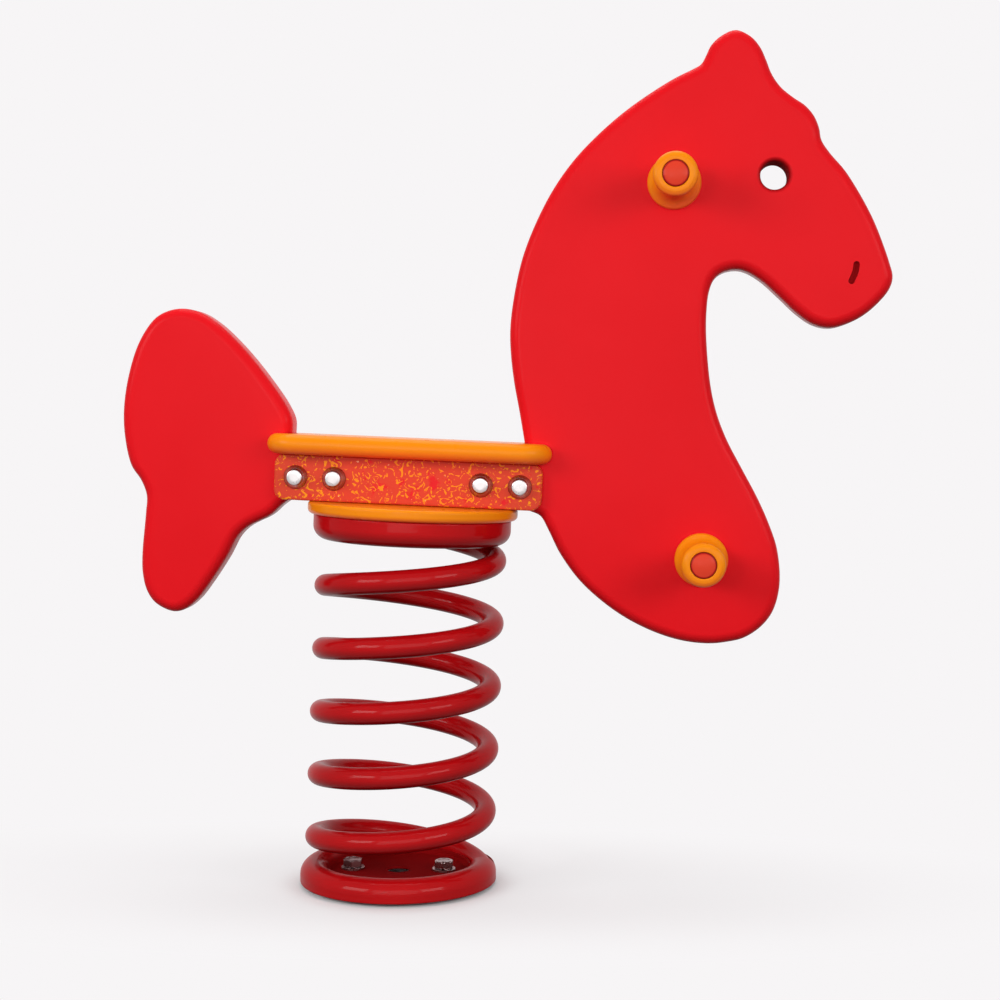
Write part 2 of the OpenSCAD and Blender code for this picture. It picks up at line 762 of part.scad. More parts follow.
module seat() {
    points = round_rectangle(seat_l, seat_w, seat_corner_r);
    radii = [for (p = points) (seat_t - seat_band) / 2];
    color(saddle_orange) leaned() difference() {
        translate([-saddle_back, 0, seat_z + seat_t / 2]) soft_board(points, radii, seat_t);
        seat_notches();
        for (x = screw_xs) translate([x, 0, seat_z]) {
            translate([0, 0, -overrun]) cylinder(d = seat_screw_d + hole_room, h = seat_t + 2 * overrun);
            translate([0, 0, seat_t - seat_screw_d / 2]) sink(fit_gap);
        }
    }
}

// Cone of a countersunk head, or of the seat around it with the given gap
module sink(gap) {
    wide = seat_screw_d * sink_share + 2 * gap;
    narrow = seat_screw_d + 2 * gap;
    cylinder(d1 = narrow, d2 = wide, h = seat_screw_d / 2);
}

module seat_screws() {
    color(bright_steel) leaned() for (x = screw_xs) translate([x, 0, seat_z + seat_t]) {
        translate([0, 0, -seat_screw_d / 2]) sink(0);
        translate([0, 0, -seat_screw_l]) cylinder(d = seat_screw_d, h = seat_screw_l - seat_screw_d / 2);
    }
}

// Hand grips and foot rests

module hand_grip_near() {
    color(saddle_orange) on_panel(hand_grip_place, -1) grip();
}

module hand_grip_far() {
    color(saddle_orange) on_panel(hand_grip_place, 1) grip();
}

module hand_grip_rod() {
    color(bright_steel) rod(hand_grip_place);
}

module hand_grip_washers() {
    color(bright_steel) for (side = [-1, 1])
        on_panel(hand_grip_place, side) translate([0, 0, recess_floor]) washer(rod_d);
}

module hand_grip_nuts() {
    color(bright_steel) for (side = [-1, 1]) on_panel(hand_grip_place, side) rod_nut();
}

module hand_grip_caps() {
    color(horse_red) for (side = [-1, 1]) on_panel(hand_grip_place, side) cap();
}

module foot_rest_near() {
    color(saddle_orange) on_panel(foot_rest_place, -1) grip();
}

module foot_rest_far() {
    color(saddle_orange) on_panel(foot_rest_place, 1) grip();
}

module foot_rest_rod() {
    color(bright_steel) rod(foot_rest_place);
}

module foot_rest_washers() {
    color(bright_steel) for (side = [-1, 1])
        on_panel(foot_rest_place, side) translate([0, 0, recess_floor]) washer(rod_d);
}

module foot_rest_nuts() {
    color(bright_steel) for (side = [-1, 1]) on_panel(foot_rest_place, side) rod_nut();
}

module foot_rest_caps() {
    color(horse_red) for (side = [-1, 1]) on_panel(foot_rest_place, side) cap();
}

base_retainer();
base_washers();
base_nuts();
spring();
top_retainer();
top_washers();
top_bolts();
barrel_nuts();
support_disc();
front_panel();
tail_panel();
cheek_near();
cheek_far();
cheek_bolts();
cheek_nuts();
seat();
seat_screws();
hand_grip_near();
hand_grip_far();
hand_grip_rod();
hand_grip_washers();
hand_grip_nuts();
hand_grip_caps();
foot_rest_near();
foot_rest_far();
foot_rest_rod();
foot_rest_washers();
foot_rest_nuts();
foot_rest_caps();
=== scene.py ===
from math import radians

import bpy
import numpy as np
from mathutils.geometry import delaunay_2d_cdt
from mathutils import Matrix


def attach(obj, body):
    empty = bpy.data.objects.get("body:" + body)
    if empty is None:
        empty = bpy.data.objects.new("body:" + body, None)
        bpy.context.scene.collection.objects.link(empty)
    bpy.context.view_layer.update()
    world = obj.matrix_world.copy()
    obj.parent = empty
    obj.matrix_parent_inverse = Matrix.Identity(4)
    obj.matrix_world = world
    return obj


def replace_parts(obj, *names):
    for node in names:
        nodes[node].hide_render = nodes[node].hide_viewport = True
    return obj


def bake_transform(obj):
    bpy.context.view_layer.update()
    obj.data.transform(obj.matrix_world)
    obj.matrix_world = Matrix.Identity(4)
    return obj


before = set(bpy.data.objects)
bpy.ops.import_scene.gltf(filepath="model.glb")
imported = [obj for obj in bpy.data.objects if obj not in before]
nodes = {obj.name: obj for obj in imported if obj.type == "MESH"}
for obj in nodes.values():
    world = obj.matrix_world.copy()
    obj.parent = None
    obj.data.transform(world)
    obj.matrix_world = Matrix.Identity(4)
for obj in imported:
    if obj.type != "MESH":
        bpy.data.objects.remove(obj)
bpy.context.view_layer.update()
mm = 0.001  # sizes below are in millimetres, meshes in metres
print("frame loaded:", len(nodes), "nodes")


# Meshes from whole arrays

# Faces of a grid of points, row by row; a wrapped direction closes on itself
def gridQuads(rows, columns, wrapRows=False, wrapColumns=True, start=0):
    r = np.arange(rows if wrapRows else rows - 1)[:, None]
    c = np.arange(columns if wrapColumns else columns - 1)[None, :]
    r2, c2 = (r + 1) % rows, (c + 1) % columns
    corners = [r * columns + c, r * columns + c2, r2 * columns + c2, r2 * columns + c]
    return np.stack(np.broadcast_arrays(*corners), -1).reshape(-1, 4) + start


# Several shapes as one: points in a row, faces counted on from the points before them
def joined(shapes):
    starts = np.cumsum([0] + [len(points) for points, _, _ in shapes])
    points = np.concatenate([shape[0] for shape in shapes])
    quads = np.concatenate([shape[1] + start for shape, start in zip(shapes, starts)])
    tris = np.concatenate([shape[2] + start for shape, start in zip(shapes, starts)])
    return points, quads, tris


noFaces3 = np.zeros((0, 3), int)
downGain = 1.1  # faces within about 25 degrees of straight down count as fully turned down


# A piece at the origin, its place in its mesh. The volume under the faces, the sum of corner products,
# is negative where they point inwards, and then they are turned round.
# Each vertex also keeps two masks for painted shade: how far its face looks down, or how near below something
# it lies where that is more, and, where given, how much painted shade it takes in a recess or a painted
# reflection band. Points on an upright face don't look down.
def makePiece(name, shape, material, sharpDeg=38, hollow=None, under=None, upright=None):
    points, quads, tris = shape
    halves = np.concatenate([quads[:, [0, 1, 2]], quads[:, [0, 2, 3]], tris])
    a, b, c = (points[halves[:, k]] for k in range(3))
    if np.einsum("ij,ij->", a, np.cross(b, c)) < 0:
        quads, tris = quads[:, ::-1], tris[:, ::-1]
    mesh = bpy.data.meshes.new(name)
    mesh.from_pydata((points * mm).tolist(), [], quads.tolist() + tris.tolist())
    mesh.polygons.foreach_set("use_smooth", np.ones(len(mesh.polygons), bool))
    mesh.set_sharp_from_angle(angle=radians(sharpDeg))
    normals = np.empty(3 * len(points), np.float32)
    mesh.vertex_normals.foreach_get("vector", normals)
    looksDown = np.clip(-downGain * normals[2::3], 0, 1)
    if upright is not None:
        looksDown[upright] = 0
    keep = dict(under=looksDown if under is None else np.maximum(looksDown, under),
                hollow=np.zeros(len(points)) if hollow is None else hollow)
    for label, values in keep.items():
        mesh.attributes.new(label, "FLOAT", "POINT").data.foreach_set("value", np.asarray(values, np.float32))
    mesh.materials.append(material)
    piece = bpy.data.objects.new(name, mesh)
    bpy.context.scene.collection.objects.link(piece)
    return piece


# Smooth curve through points: on each span a cubic whose end slopes allow for uneven spacing
def smoothCurve(points, steps):
    points = np.asarray(points, float)
    line = np.concatenate([[2 * points[0] - points[1]], points, [2 * points[-1] - points[-2]]])
    p0, p1, p2, p3 = line[:-3], line[1:-2], line[2:-1], line[3:]
    d1, d2, d3 = (np.sqrt(np.linalg.norm(q - p, axis=1))[:, None] for p, q in ((p0, p1), (p1, p2), (p2, p3)))
    m1 = (p2 - p1) + d2 * ((p1 - p0) / d1 - (p2 - p0) / (d1 + d2))
    m2 = (p2 - p1) + d2 * ((p3 - p2) / d3 - (p3 - p1) / (d2 + d3))
    u = (np.arange(steps) / steps)[None, :, None]
    cubic, square = 2 * (p1 - p2) + m1 + m2, 3 * (p2 - p1) - 2 * m1 - m2
    curve = cubic[:, None] * u**3 + square[:, None] * u**2 + m1[:, None] * u + p1[:, None]
    return np.concatenate([curve.reshape(-1, points.shape[1]), points[-1:]])


# Arc around a centre, angles in degrees
def arc(centre, r, start, end, steps):
    a = np.radians(np.linspace(start, end, steps + 1))
    return np.asarray(centre, float) + r * np.stack([np.cos(a), np.sin(a)], -1)


# Sideways direction of a line of points: its tangent, from the points before and after, turned by a quarter
def sideOf(line, closed):
    ahead = np.roll(line, -1, 0) - line
    behind = line - np.roll(line, 1, 0)
    if not closed:
        ahead[-1], behind[0] = behind[-1], ahead[0]
    along = ahead / np.linalg.norm(ahead, axis=1)[:, None] + behind / np.linalg.norm(behind, axis=1)[:, None]
    along /= np.linalg.norm(along, axis=1)[:, None]
    return np.stack([along[:, 1], -along[:, 0]], -1)


# Points of a line of radii and heights, turned about the upright axis, ring by ring
def turnedRings(line, segments):
    line = np.asarray(line, float)
    a = np.linspace(0, 2 * np.pi, segments, endpoint=False)
    return np.stack(np.broadcast_arrays(line[:, :1] * np.cos(a), line[:, :1] * np.sin(a), line[:, 1:]), -1)


# Rings one after the other, closed at both ends by a fan to a point on the axis
def closedRings(rings, firstZ, lastZ):
    rows, segments = rings.shape[:2]
    points = np.concatenate([rings.reshape(-1, 3), [[0, 0, firstZ], [0, 0, lastZ]]])
    k, last = np.arange(segments), (rows - 1) * segments
    k2 = np.roll(k, -1)
    low, high = np.full(segments, len(points) - 2), np.full(segments, len(points) - 1)
    tris = np.concatenate([np.stack([low, k2, k], -1), np.stack([high, last + k, last + k2], -1)])
    return points, gridQuads(rows, segments), tris


# A profile of radii and heights turned about the upright axis, where it starts and ends
def turnedProfile(profile, segments):
    profile = np.asarray(profile, float)
    return closedRings(turnedRings(profile[1:-1], segments), profile[0, 1], profile[-1, 1])


# A closed loop of radii and heights turned about the upright axis
def turnedLoop(loop, segments):
    return turnedRings(loop, segments).reshape(-1, 3), gridQuads(len(loop), segments, wrapRows=True), noFaces3


# How far the points of an upright turned shape lie from its axis
def axisDistance(shape):
    return np.hypot(shape[0][:, 0], shape[0][:, 1])


# Whether points lie in a closed outline: a ray to the right crosses its edges an odd number of times
def insideOf(points, outline):
    x, y = points[:, :1], points[:, 1:]
    x1, y1 = outline[:, 0], outline[:, 1]
    x2, y2 = np.roll(x1, -1), np.roll(y1, -1)
    crosses = (y1 > y) != (y2 > y)
    rise = np.where(y1 == y2, 1, y2 - y1)
    return np.count_nonzero(crosses & (x < (x2 - x1) * (y - y1) / rise + x1), axis=1) % 2 == 1


clearShare = 0.7  # points inside a flat face keep this share of a step from its edges
mergeGap = 1e-5  # points nearer than this are one


# Triangles of a flat face between its outer loop and its holes, with a plain grid of points inside
def flatFill(loops, step):
    rim = np.concatenate(loops)
    low, high = loops[0].min(0), loops[0].max(0)
    columns, rows = (np.arange(low[k], high[k], step) for k in (0, 1))
    grid = np.stack(np.meshgrid(columns, rows), -1).reshape(-1, 2)
    clear = np.linalg.norm(grid[:, None] - rim[None], axis=2).min(1) > clearShare * step
    clear &= insideOf(grid, loops[0])
    for hole in loops[1:]:
        clear &= ~insideOf(grid, hole)
    inner = grid[clear]
    starts = np.cumsum([0] + [len(loop) for loop in loops])
    edges = np.concatenate([
        np.stack([np.arange(len(loop)), np.roll(np.arange(len(loop)), -1)], -1) + start
        for loop, start in zip(loops, starts)])
    made = delaunay_2d_cdt(np.concatenate([rim, inner]).tolist(), edges.tolist(), [], 0, mergeGap, True)
    source = np.array([ids[0] for ids in made[3]])
    tris = source[np.array(made[2])]
    spots = np.concatenate([rim, inner])[tris].mean(1)
    keep = insideOf(spots, loops[0])
    for hole in loops[1:]:
        keep &= ~insideOf(spots, hole)
    return inner, tris[keep]


boardEdge = dict(steps=8, flatBand=0.8)  # rings in a rounded edge, and the strip of flat face beside it


# Board with rounded edges, lying flat: each ring of its edge is the outline moved in by r (1 - sin a) and
# down by r (1 - cos a). Tunnels go through it and pits into one face, each a stack of rings from face to end.
def softBoard(outline, radii, thickness, side=None, tunnels=(), lowPits=(), highPits=(), step=16):
    outline, radii = np.asarray(outline, float), np.asarray(radii, float)
    side = sideOf(outline, True) if side is None else side
    a = np.linspace(0, np.pi / 2, boardEdge["steps"] + 1)
    band = np.concatenate([[boardEdge["flatBand"]], np.zeros(len(a))])[:, None]
    inset = band + np.concatenate([[1], 1 - np.sin(a)])[:, None] * radii
    height = thickness / 2 - np.concatenate([[0], 1 - np.cos(a)])[:, None] * radii
    inset, height = np.concatenate([inset, inset[::-1]]), np.concatenate([-height, height[::-1]])
    rings = np.concatenate([outline - inset[:, :, None] * side, height[:, :, None]], -1)
    rows, count = rings.shape[:2]
    blocks, total = [rings.reshape(-1, 3)], rows * count
    quads, tris = [gridQuads(rows, count)], []
    lowLoops, highLoops = [np.arange(count)], [np.arange(count) + (rows - 1) * count]
    for tunnel in tunnels:
        k = np.arange(tunnel.shape[1])
        blocks.append(tunnel.reshape(-1, 3))
        quads.append(gridQuads(*tunnel.shape[:2], start=total)[:, ::-1])
        lowLoops.append(total + k)
        highLoops.append(total + (len(tunnel) - 1) * len(k) + k)
        total += len(blocks[-1])
    for pits, loops, turn in ((lowPits, lowLoops, -1), (highPits, highLoops, 1)):
        for pit in pits:
            k = np.arange(pit.shape[1])
            blocks.append(np.concatenate([pit.reshape(-1, 3), pit[-1].mean(0)[None]]))
            quads.append(gridQuads(*pit.shape[:2], start=total)[:, ::turn])
            last = total + (len(pit) - 1) * len(k) + k
            middle = np.full(len(k), total + len(blocks[-1]) - 1)
            tris.append(np.stack([middle, last, np.roll(last, -1)], -1)[:, ::turn])
            loops.append(total + k)
            total += len(blocks[-1])
    for loops, turn in ((lowLoops, -1), (highLoops, 1)):
        edgePoints = np.concatenate(blocks)
        inner, faces = flatFill([edgePoints[loop][:, :2] for loop in loops], step)
        index = np.concatenate(loops + [total + np.arange(len(inner))])
        tris.append(index[faces][:, ::turn])
        blocks.append(np.concatenate([inner, np.full((len(inner), 1), turn * thickness / 2)], -1))
        total += len(inner)
    return np.concatenate(blocks), np.concatenate(quads), np.concatenate(tris)


# Placing

saddle = dict(leanDeg=2.4, springTop=376.5, discThick=12, back=3.4, panelThick=40)
saddle["z"] = saddle["springTop"] + saddle["discThick"]


# The rider's pieces lean forward together: a turn about the Y axis through the origin
def leaned(shape):
    points, quads, tris = shape
    s, c = np.sin(radians(saddle["leanDeg"])), np.cos(radians(saddle["leanDeg"]))
    x, y, z = points.T
    return np.stack([x * c + z * s, y, z * c - x * s], -1), quads, tris


# A shape moved by a distance each way
def moved(shape, by):
    return shape[0] + np.asarray(by, float), shape[1], shape[2]


# A board that stands up along the object: its second direction is up and its thickness across
def standing(shape):
    return shape[0][:, [0, 2, 1]], shape[1], shape[2]


# An upright shape laid to point out of one side, -1 near and 1 far
def pointing(shape, side):
    x, y, z = shape[0].T
    return np.stack([x, side * z, -side * y], -1), shape[1], shape[2]


# An upright shape turned over, as its lower side up
def upsideDown(shape, height):
    x, y, z = shape[0].T
    return np.stack([x, y, height - z], -1), shape[1][:, ::-1], shape[2][:, ::-1]


# Materials

def newMaterial(name, fixed):
    material = bpy.data.materials.new(name)
    material.use_nodes = True
    shader = material.node_tree.nodes["Principled BSDF"]
    for socket, value in fixed.items():
        shader.inputs[socket].default_value = value
    return material, material.node_tree, shader


def addNode(tree, kind, inputs=None, **settings):
    node = tree.nodes.new(kind)
    for key, value in settings.items():
        setattr(node, key, value)
    for socket, value in (inputs or {}).items():
        if isinstance(value, bpy.types.NodeSocket):
            tree.links.new(value, node.inputs[socket])
        else:
            node.inputs[socket].default_value = value
    return node


# A ramp on a value between two stops, each a place and a colour
def addRamp(tree, value, stops):
    node = addNode(tree, "ShaderNodeValToRGB", {"Fac": value})
    ramp = node.color_ramp
    for stop, (place, colour) in zip(ramp.elements, stops):
        stop.position, stop.color = place, (*colour, 1)
    return node.outputs["Color"]


# A mix of two colours; in the node's colour mode these are its inputs 6 and 7, and its output is the third
def mixColour(tree, share, first, second):
    node = addNode(tree, "ShaderNodeMix", {0: share}, data_type="RGBA")
    for socket, value in ((node.inputs[6], first), (node.inputs[7], second)):
        if isinstance(value, bpy.types.NodeSocket):
            tree.links.new(value, socket)
        else:
            socket.default_value = (*value, 1)
    return node.outputs[2]


# Noise scales where a material gives no others; the noise spans its two tones or roughnesses over the spread
finish = dict(scales=dict(Drift=6.0, Grain=900.0, Patch=40.0), details=dict(Drift=3.0, Grain=4.0, Patch=5.0),
              noiseRoughness=0.55, spread=(0.3, 0.7), bumpStrength=0.5)


# Shared finish: slow drift of tone, fine grain for the bump, and a patchy mask for the roughness
def makeFinishGroup():
    group = bpy.data.node_groups.new("surfaceFinish", "ShaderNodeTree")
    for name, scale in finish["scales"].items():
        socket = group.interface.new_socket(name + " Scale", in_out="INPUT", socket_type="NodeSocketFloat")
        socket.default_value = scale
    for name in finish["scales"]:
        group.interface.new_socket(name, in_out="OUTPUT", socket_type="NodeSocketFloat")
    source = addNode(group, "NodeGroupInput")
    place = addNode(group, "ShaderNodeTexCoord").outputs["Object"]
    result = addNode(group, "NodeGroupOutput")
    for name, detail in finish["details"].items():
        noise = addNode(group, "ShaderNodeTexNoise", {
            "Vector": place, "Scale": source.outputs[name + " Scale"], "Detail": detail,
            "Roughness": finish["noiseRoughness"]})
        group.links.new(noise.outputs["Fac"], result.inputs[name])
    return group


finishGroup = makeFinishGroup()


# Places the shared finish in a material: tone between two colours, roughness between two values, fine bump
def applyFinish(tree, shader, look):
    low, high = finish["spread"]
    masks = addNode(tree, "ShaderNodeGroup", node_tree=finishGroup)
    for name, scale in (finish["scales"] | look.get("scales", {})).items():
        masks.inputs[name + " Scale"].default_value = scale
    colour = addRamp(tree, masks.outputs["Drift"], [(low, look["deep"]), (high, look["light"])])
    tree.links.new(colour, shader.inputs["Base Color"])
    rough = addNode(tree, "ShaderNodeMapRange", {
        "Value": masks.outputs["Patch"], "From Min": low, "From Max": high,
        "To Min": look["roughness"][0], "To Max": look["roughness"][1]})
    tree.links.new(rough.outputs[0], shader.inputs["Roughness"])
    bump = addNode(tree, "ShaderNodeBump", {
        "Height": masks.outputs["Grain"], "Strength": finish["bumpStrength"], "Distance": look["bump"]})
    tree.links.new(bump.outputs["Normal"], shader.inputs["Normal"])
    return colour


# Paints shade into a material: mixes a second, darker colour into its own by an attribute of the vertices; a
# dull one also loses its gloss
def addShade(tree, shader, colour, label, second, most, dull=False):
    value = addNode(tree, "ShaderNodeAttribute", attribute_name=label).outputs["Fac"]
    share = addNode(tree, "ShaderNodeMath", {0: value, 1: most}, operation="MULTIPLY").outputs[0]
    mixed = mixColour(tree, share, colour, second)
    tree.links.new(mixed, shader.inputs["Base Color"])
    if dull:
        plain = shader.inputs["Roughness"].links[0].from_socket
        rough = addNode(tree, "ShaderNodeMath", {0: plain, 1: share}, operation="MAXIMUM")
        tree.links.new(rough.outputs[0], shader.inputs["Roughness"])
        coat = addNode(tree, "ShaderNodeMapRange", {
            "Value": value, "To Min": shader.inputs["Coat Weight"].default_value, "To Max": 0.0})
        tree.links.new(coat.outputs[0], shader.inputs["Coat Weight"])
    return mixed


# A material with the shared finish, its fixed values and its painted shades
def finishedMaterial(name, look):
    material, tree, shader = newMaterial(name, look["fixed"])
    colour = applyFinish(tree, shader, look)
    for shade in look["shades"]:
        colour = addShade(tree, shader, colour, **shade)
    return material, tree, shader


# Red boards: painted shade on faces that look down, and dark, dull painted shade in the eye and the nostril
redBoard = dict(
    light=(0.80, 0.010, 0.016), deep=(0.76, 0.008, 0.013), roughness=(0.21, 0.27), bump=0.00003,
    fixed={"Specular IOR Level": 0.04},
    shades=(dict(label="under", second=(0.36, 0.003, 0.005), most=0.8),
            dict(label="hollow", second=(0.24, 0.004, 0.005), most=0.92, dull=True)))

# Orange mouldings: painted shade tinted red by the boards' bounce on faces that look down and on the lower
# side of the grips' flanges, and painted shade inside the grips' recesses
orangeBoard = dict(
    light=(0.94, 0.272, 0.004), deep=(0.91, 0.252, 0.003), roughness=(0.26, 0.33), bump=0.000015,
    fixed={"Specular IOR Level": 0.1},
    shades=(dict(label="under", second=(0.80, 0.085, 0.025), most=0.85),
            dict(label="hollow", second=(0.30, 0.012, 0.008), most=0.9)))

# Caps: painted shade in a ring at their edge, where the gap to the grip lies
capMoulding = dict(
    light=(0.76, 0.058, 0.026), deep=(0.73, 0.049, 0.022), roughness=(0.26, 0.34), bump=0.00003,
    fixed={"Specular IOR Level": 0.08},
    shades=(dict(label="hollow", second=(0.35, 0.006, 0.008), most=1.0),))

# Spring and dishes: painted shade on faces that look down, and dull painted shade on the base dish's floor
springPaint = dict(
    light=(0.53, 0.004, 0.006), deep=(0.45, 0.003, 0.005), roughness=(0.28, 0.36), bump=0.00005,
    scales=dict(Drift=9.0, Grain=260.0),
    fixed={"Coat Weight": 0.16, "Coat Roughness": 0.05, "Specular IOR Level": 0.02},
    shades=(dict(label="under", second=(0.13, 0.0015, 0.0025), most=0.8),
            dict(label="hollow", second=(0.26, 0.004, 0.005), most=0.85, dull=True)))

# Steel's second colour is painted shade: the dark and light painted reflection rings of the cone nuts, and the
# base fixings' shade in the dish
steel = dict(
    light=(0.58, 0.55, 0.55), deep=(0.50, 0.48, 0.48), roughness=(0.20, 0.34), bump=0.00003,
    scales=dict(Drift=60.0), fixed={}, metal=(0.45, 1.0), metalFrom=0.3,
    shades=(dict(label="hollow", second=(0.30, 0.17, 0.17), most=1.0),))


# Steel: pale and half metal on its open faces, all metal where its painted shade is on: in the cone nuts'
# painted reflection rings and on the shaded base fixings
def makeSteel():
    material, tree, shader = finishedMaterial("brightSteel", steel)
    shaded = addNode(tree, "ShaderNodeAttribute", attribute_name="hollow").outputs["Fac"]
    metal = addNode(tree, "ShaderNodeMapRange", {
        "Value": shaded, "From Max": steel["metalFrom"], "To Min": steel["metal"][0],
        "To Max": steel["metal"][1]})
    tree.links.new(metal.outputs[0], shader.inputs["Metallic"])
    return material


# Each kind of granule has its colour, the noise that spreads it, and the values where it starts and is full
mottled = dict(
    ground=(0.68, 0.058, 0.027), fixed={"Specular IOR Level": 0.06, "Roughness": 0.3},
    bumpStrength=0.4, bumpDepth=0.0001,
    patch=dict(colour=(0.72, 0.018, 0.022), edge=(0.58, 0.66),
               noise=dict(Scale=60.0, Detail=4.0, Roughness=0.6)),
    fleck=dict(colour=(0.93, 0.30, 0.010), edge=(0.585, 0.61),
               noise=dict(Scale=130.0, Detail=2.0, Roughness=0.55, Distortion=2.2)),
    pale=dict(colour=(0.95, 0.62, 0.35), edge=(0.74, 0.77), noise=dict(Scale=300.0, Detail=2.0)))


# Boards pressed from mixed granules: red patches on the ground, then bent orange flecks, then some pale spots
def makeMottledBoard():
    material, tree, shader = newMaterial("mottledBoard", mottled["fixed"])
    place = addNode(tree, "ShaderNodeTexCoord").outputs["Object"]
    colour, spread = mottled["ground"], {}
    for name in ("patch", "fleck", "pale"):
        kind = mottled[name]
        spread[name] = addNode(tree, "ShaderNodeTexNoise", {"Vector": place, **kind["noise"]}).outputs["Fac"]
        mask = addRamp(tree, spread[name], zip(kind["edge"], ((0, 0, 0), (1, 1, 1))))
        colour = mixColour(tree, mask, colour, kind["colour"])
    tree.links.new(colour, shader.inputs["Base Color"])
    bump = addNode(tree, "ShaderNodeBump", {
        "Height": spread["fleck"], "Strength": mottled["bumpStrength"], "Distance": mottled["bumpDepth"]})
    tree.links.new(bump.outputs["Normal"], shader.inputs["Normal"])
    return material


redBoardMaterial = finishedMaterial("redBoard", redBoard)[0]
orangeMaterial = finishedMaterial("orangeBoard", orangeBoard)[0]
mottledMaterial = makeMottledBoard()
paintMaterial = finishedMaterial("springPaint", springPaint)[0]
steelMaterial = makeSteel()
capMaterial = finishedMaterial("capMoulding", capMoulding)[0]
print("materials mixed")


# Spring

# Eases are in turns, and their shares are of the climb; the bend's ends and the stiff seam are in metres
spring = dict(outerDia=194, wireDia=22, climbTurns=5.53, endTurns=0.58, exitDeg=-10, endGap=0.3, lowEase=0.27,
              highEase=0.5, lowShare=0.048, highShare=0.088, ringsPerTurn=120, sides=36, seamTurn=2.778,
              tangentDeg=0.5, bendFrom=0.026, bendTo=0.350, seamHalf=0.014)
spring["coilR"] = (spring["outerDia"] - spring["wireDia"]) / 2
spring["lowZ"] = spring["endGap"] + spring["wireDia"] / 2
spring["topDeg"] = spring["exitDeg"] + 360 * spring["climbTurns"]


# Rise over a share t of a stretch, a cubic with given slopes at its ends
def eased(t, rise, slopeIn, slopeOut):
    return rise * (3 * t**2 - 2 * t**3) + slopeIn * (t - 2 * t**2 + t**3) + slopeOut * (t**3 - t**2)


# The wire's middle: a circle in plan; its height is flat at the ends, eases in, climbs evenly and eases out;
# the lean comes in over the first ease
def wireMiddle(deg):
    climb = saddle["springTop"] - 2 * spring["lowZ"]
    evenTurns = spring["climbTurns"] - spring["lowEase"] - spring["highEase"]
    lowH, highH = climb * spring["lowShare"], climb * spring["highShare"]
    evenH = climb - lowH - highH
    pitch = evenH / evenTurns
    u = (deg - spring["exitDeg"]) / 360
    lowT = np.clip(u / spring["lowEase"], 0, 1)
    highT = np.clip((u - spring["lowEase"] - evenTurns) / spring["highEase"], 0, 1)
    z = (spring["lowZ"] + eased(lowT, lowH, 0, pitch * spring["lowEase"])
         + pitch * np.clip(u - spring["lowEase"], 0, evenTurns)
         + eased(highT, highH, pitch * spring["highEase"], 0))
    lean = np.radians(saddle["leanDeg"]) * lowT**2 * (3 - 2 * lowT)
    a = np.radians(deg)
    x, y = spring["coilR"] * np.cos(a), spring["coilR"] * np.sin(a)
    return np.stack([x * np.cos(lean) + z * np.sin(lean), y, z * np.cos(lean) - x * np.sin(lean)], -1)


# Tube round the wire's middle: in each plane across it a circle from the outward direction; flat ends
def wireTube(fromDeg, toDeg):
    deg = np.linspace(fromDeg, toDeg, int((toDeg - fromDeg) / 360 * spring["ringsPerTurn"]) + 1)
    middle = wireMiddle(deg)
    along = wireMiddle(deg + spring["tangentDeg"]) - wireMiddle(deg - spring["tangentDeg"])
    along /= np.linalg.norm(along, axis=1)[:, None]
    out = np.stack([np.cos(np.radians(deg)), np.sin(np.radians(deg)), np.zeros(len(deg))], -1)
    out -= np.einsum("ij,ij->i", out, along)[:, None] * along
    out /= np.linalg.norm(out, axis=1)[:, None]
    up = np.cross(out, along)
    b = np.linspace(0, 2 * np.pi, spring["sides"], endpoint=False)[None, :, None]
    rings = middle[:, None] + spring["wireDia"] / 2 * (np.cos(b) * out[:, None] + np.sin(b) * up[:, None])
    rows, count = rings.shape[:2]
    ends = np.concatenate([rings[0], rings[-1], middle[[0, -1]]])
    start = rows * count
    k = np.arange(count)
    k2 = np.roll(k, -1)
    low, high = np.full(count, start + 2 * count), np.full(count, start + 2 * count + 1)
    tris = np.concatenate([np.stack([low, start + k2, start + k], -1),
                           np.stack([high, start + count + k, start + count + k2], -1)])
    return np.concatenate([rings.reshape(-1, 3), ends]), gridQuads(rows, count), tris


# One wire in two lengths, split at the seam: the lower from the base, the upper up to the rider
def buildSpring():
    wireFrom = spring["exitDeg"] - 360 * spring["endTurns"]
    wireTo = spring["topDeg"] + 360 * spring["endTurns"]
    seam = spring["exitDeg"] + 360 * spring["seamTurn"]
    lower = makePiece("springLower", wireTube(wireFrom, seam), paintMaterial)
    upper = makePiece("springUpper", wireTube(seam, wireTo), paintMaterial)
    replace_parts(lower, "spring")
    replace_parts(upper, "spring")
    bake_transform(lower)
    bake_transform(upper)


buildSpring()
print("spring wound")


# Retainers

# The bend's points are given inwards of the wall and up from the floor
retainer = dict(sheet=2.5, rimGap=0.8, floorZ=13, holeR=12, baseEdgeZ=3.5, topEdgeZ=0.15, stepDeg=1.5,
                baseSlot=152, topSlot=160, slotLate=16, slotGap=0.3, floorEnd=8, bend=((3.2, 0.5), (0.7, 2.4)),
                rollFromDeg=150, rollSteps=24, wallFrom=3.6, wallLip=1, curveSteps=3, lipSteps=6,
                floorShares=(0, 0.3, 0.6, 0.85, 1), skirtShares=(0.35, 0.7, 1), wallShares=(0, 0.3, 0.6, 1),
                shadeFrom=10.5, shadeWide=3)
retainer["channelR"] = spring["wireDia"] / 2 + retainer["rimGap"]
retainer["rimR"] = retainer["channelR"] + retainer["sheet"]
# Height at which the slot's sides cut the roll: where the roll's outer circle is as wide as the slot
retainer["slotHalf"] = retainer["channelR"] + retainer["slotGap"]
retainer["wallTop"] = spring["lowZ"] + np.sqrt(retainer["rimR"]**2 - retainer["slotHalf"]**2)
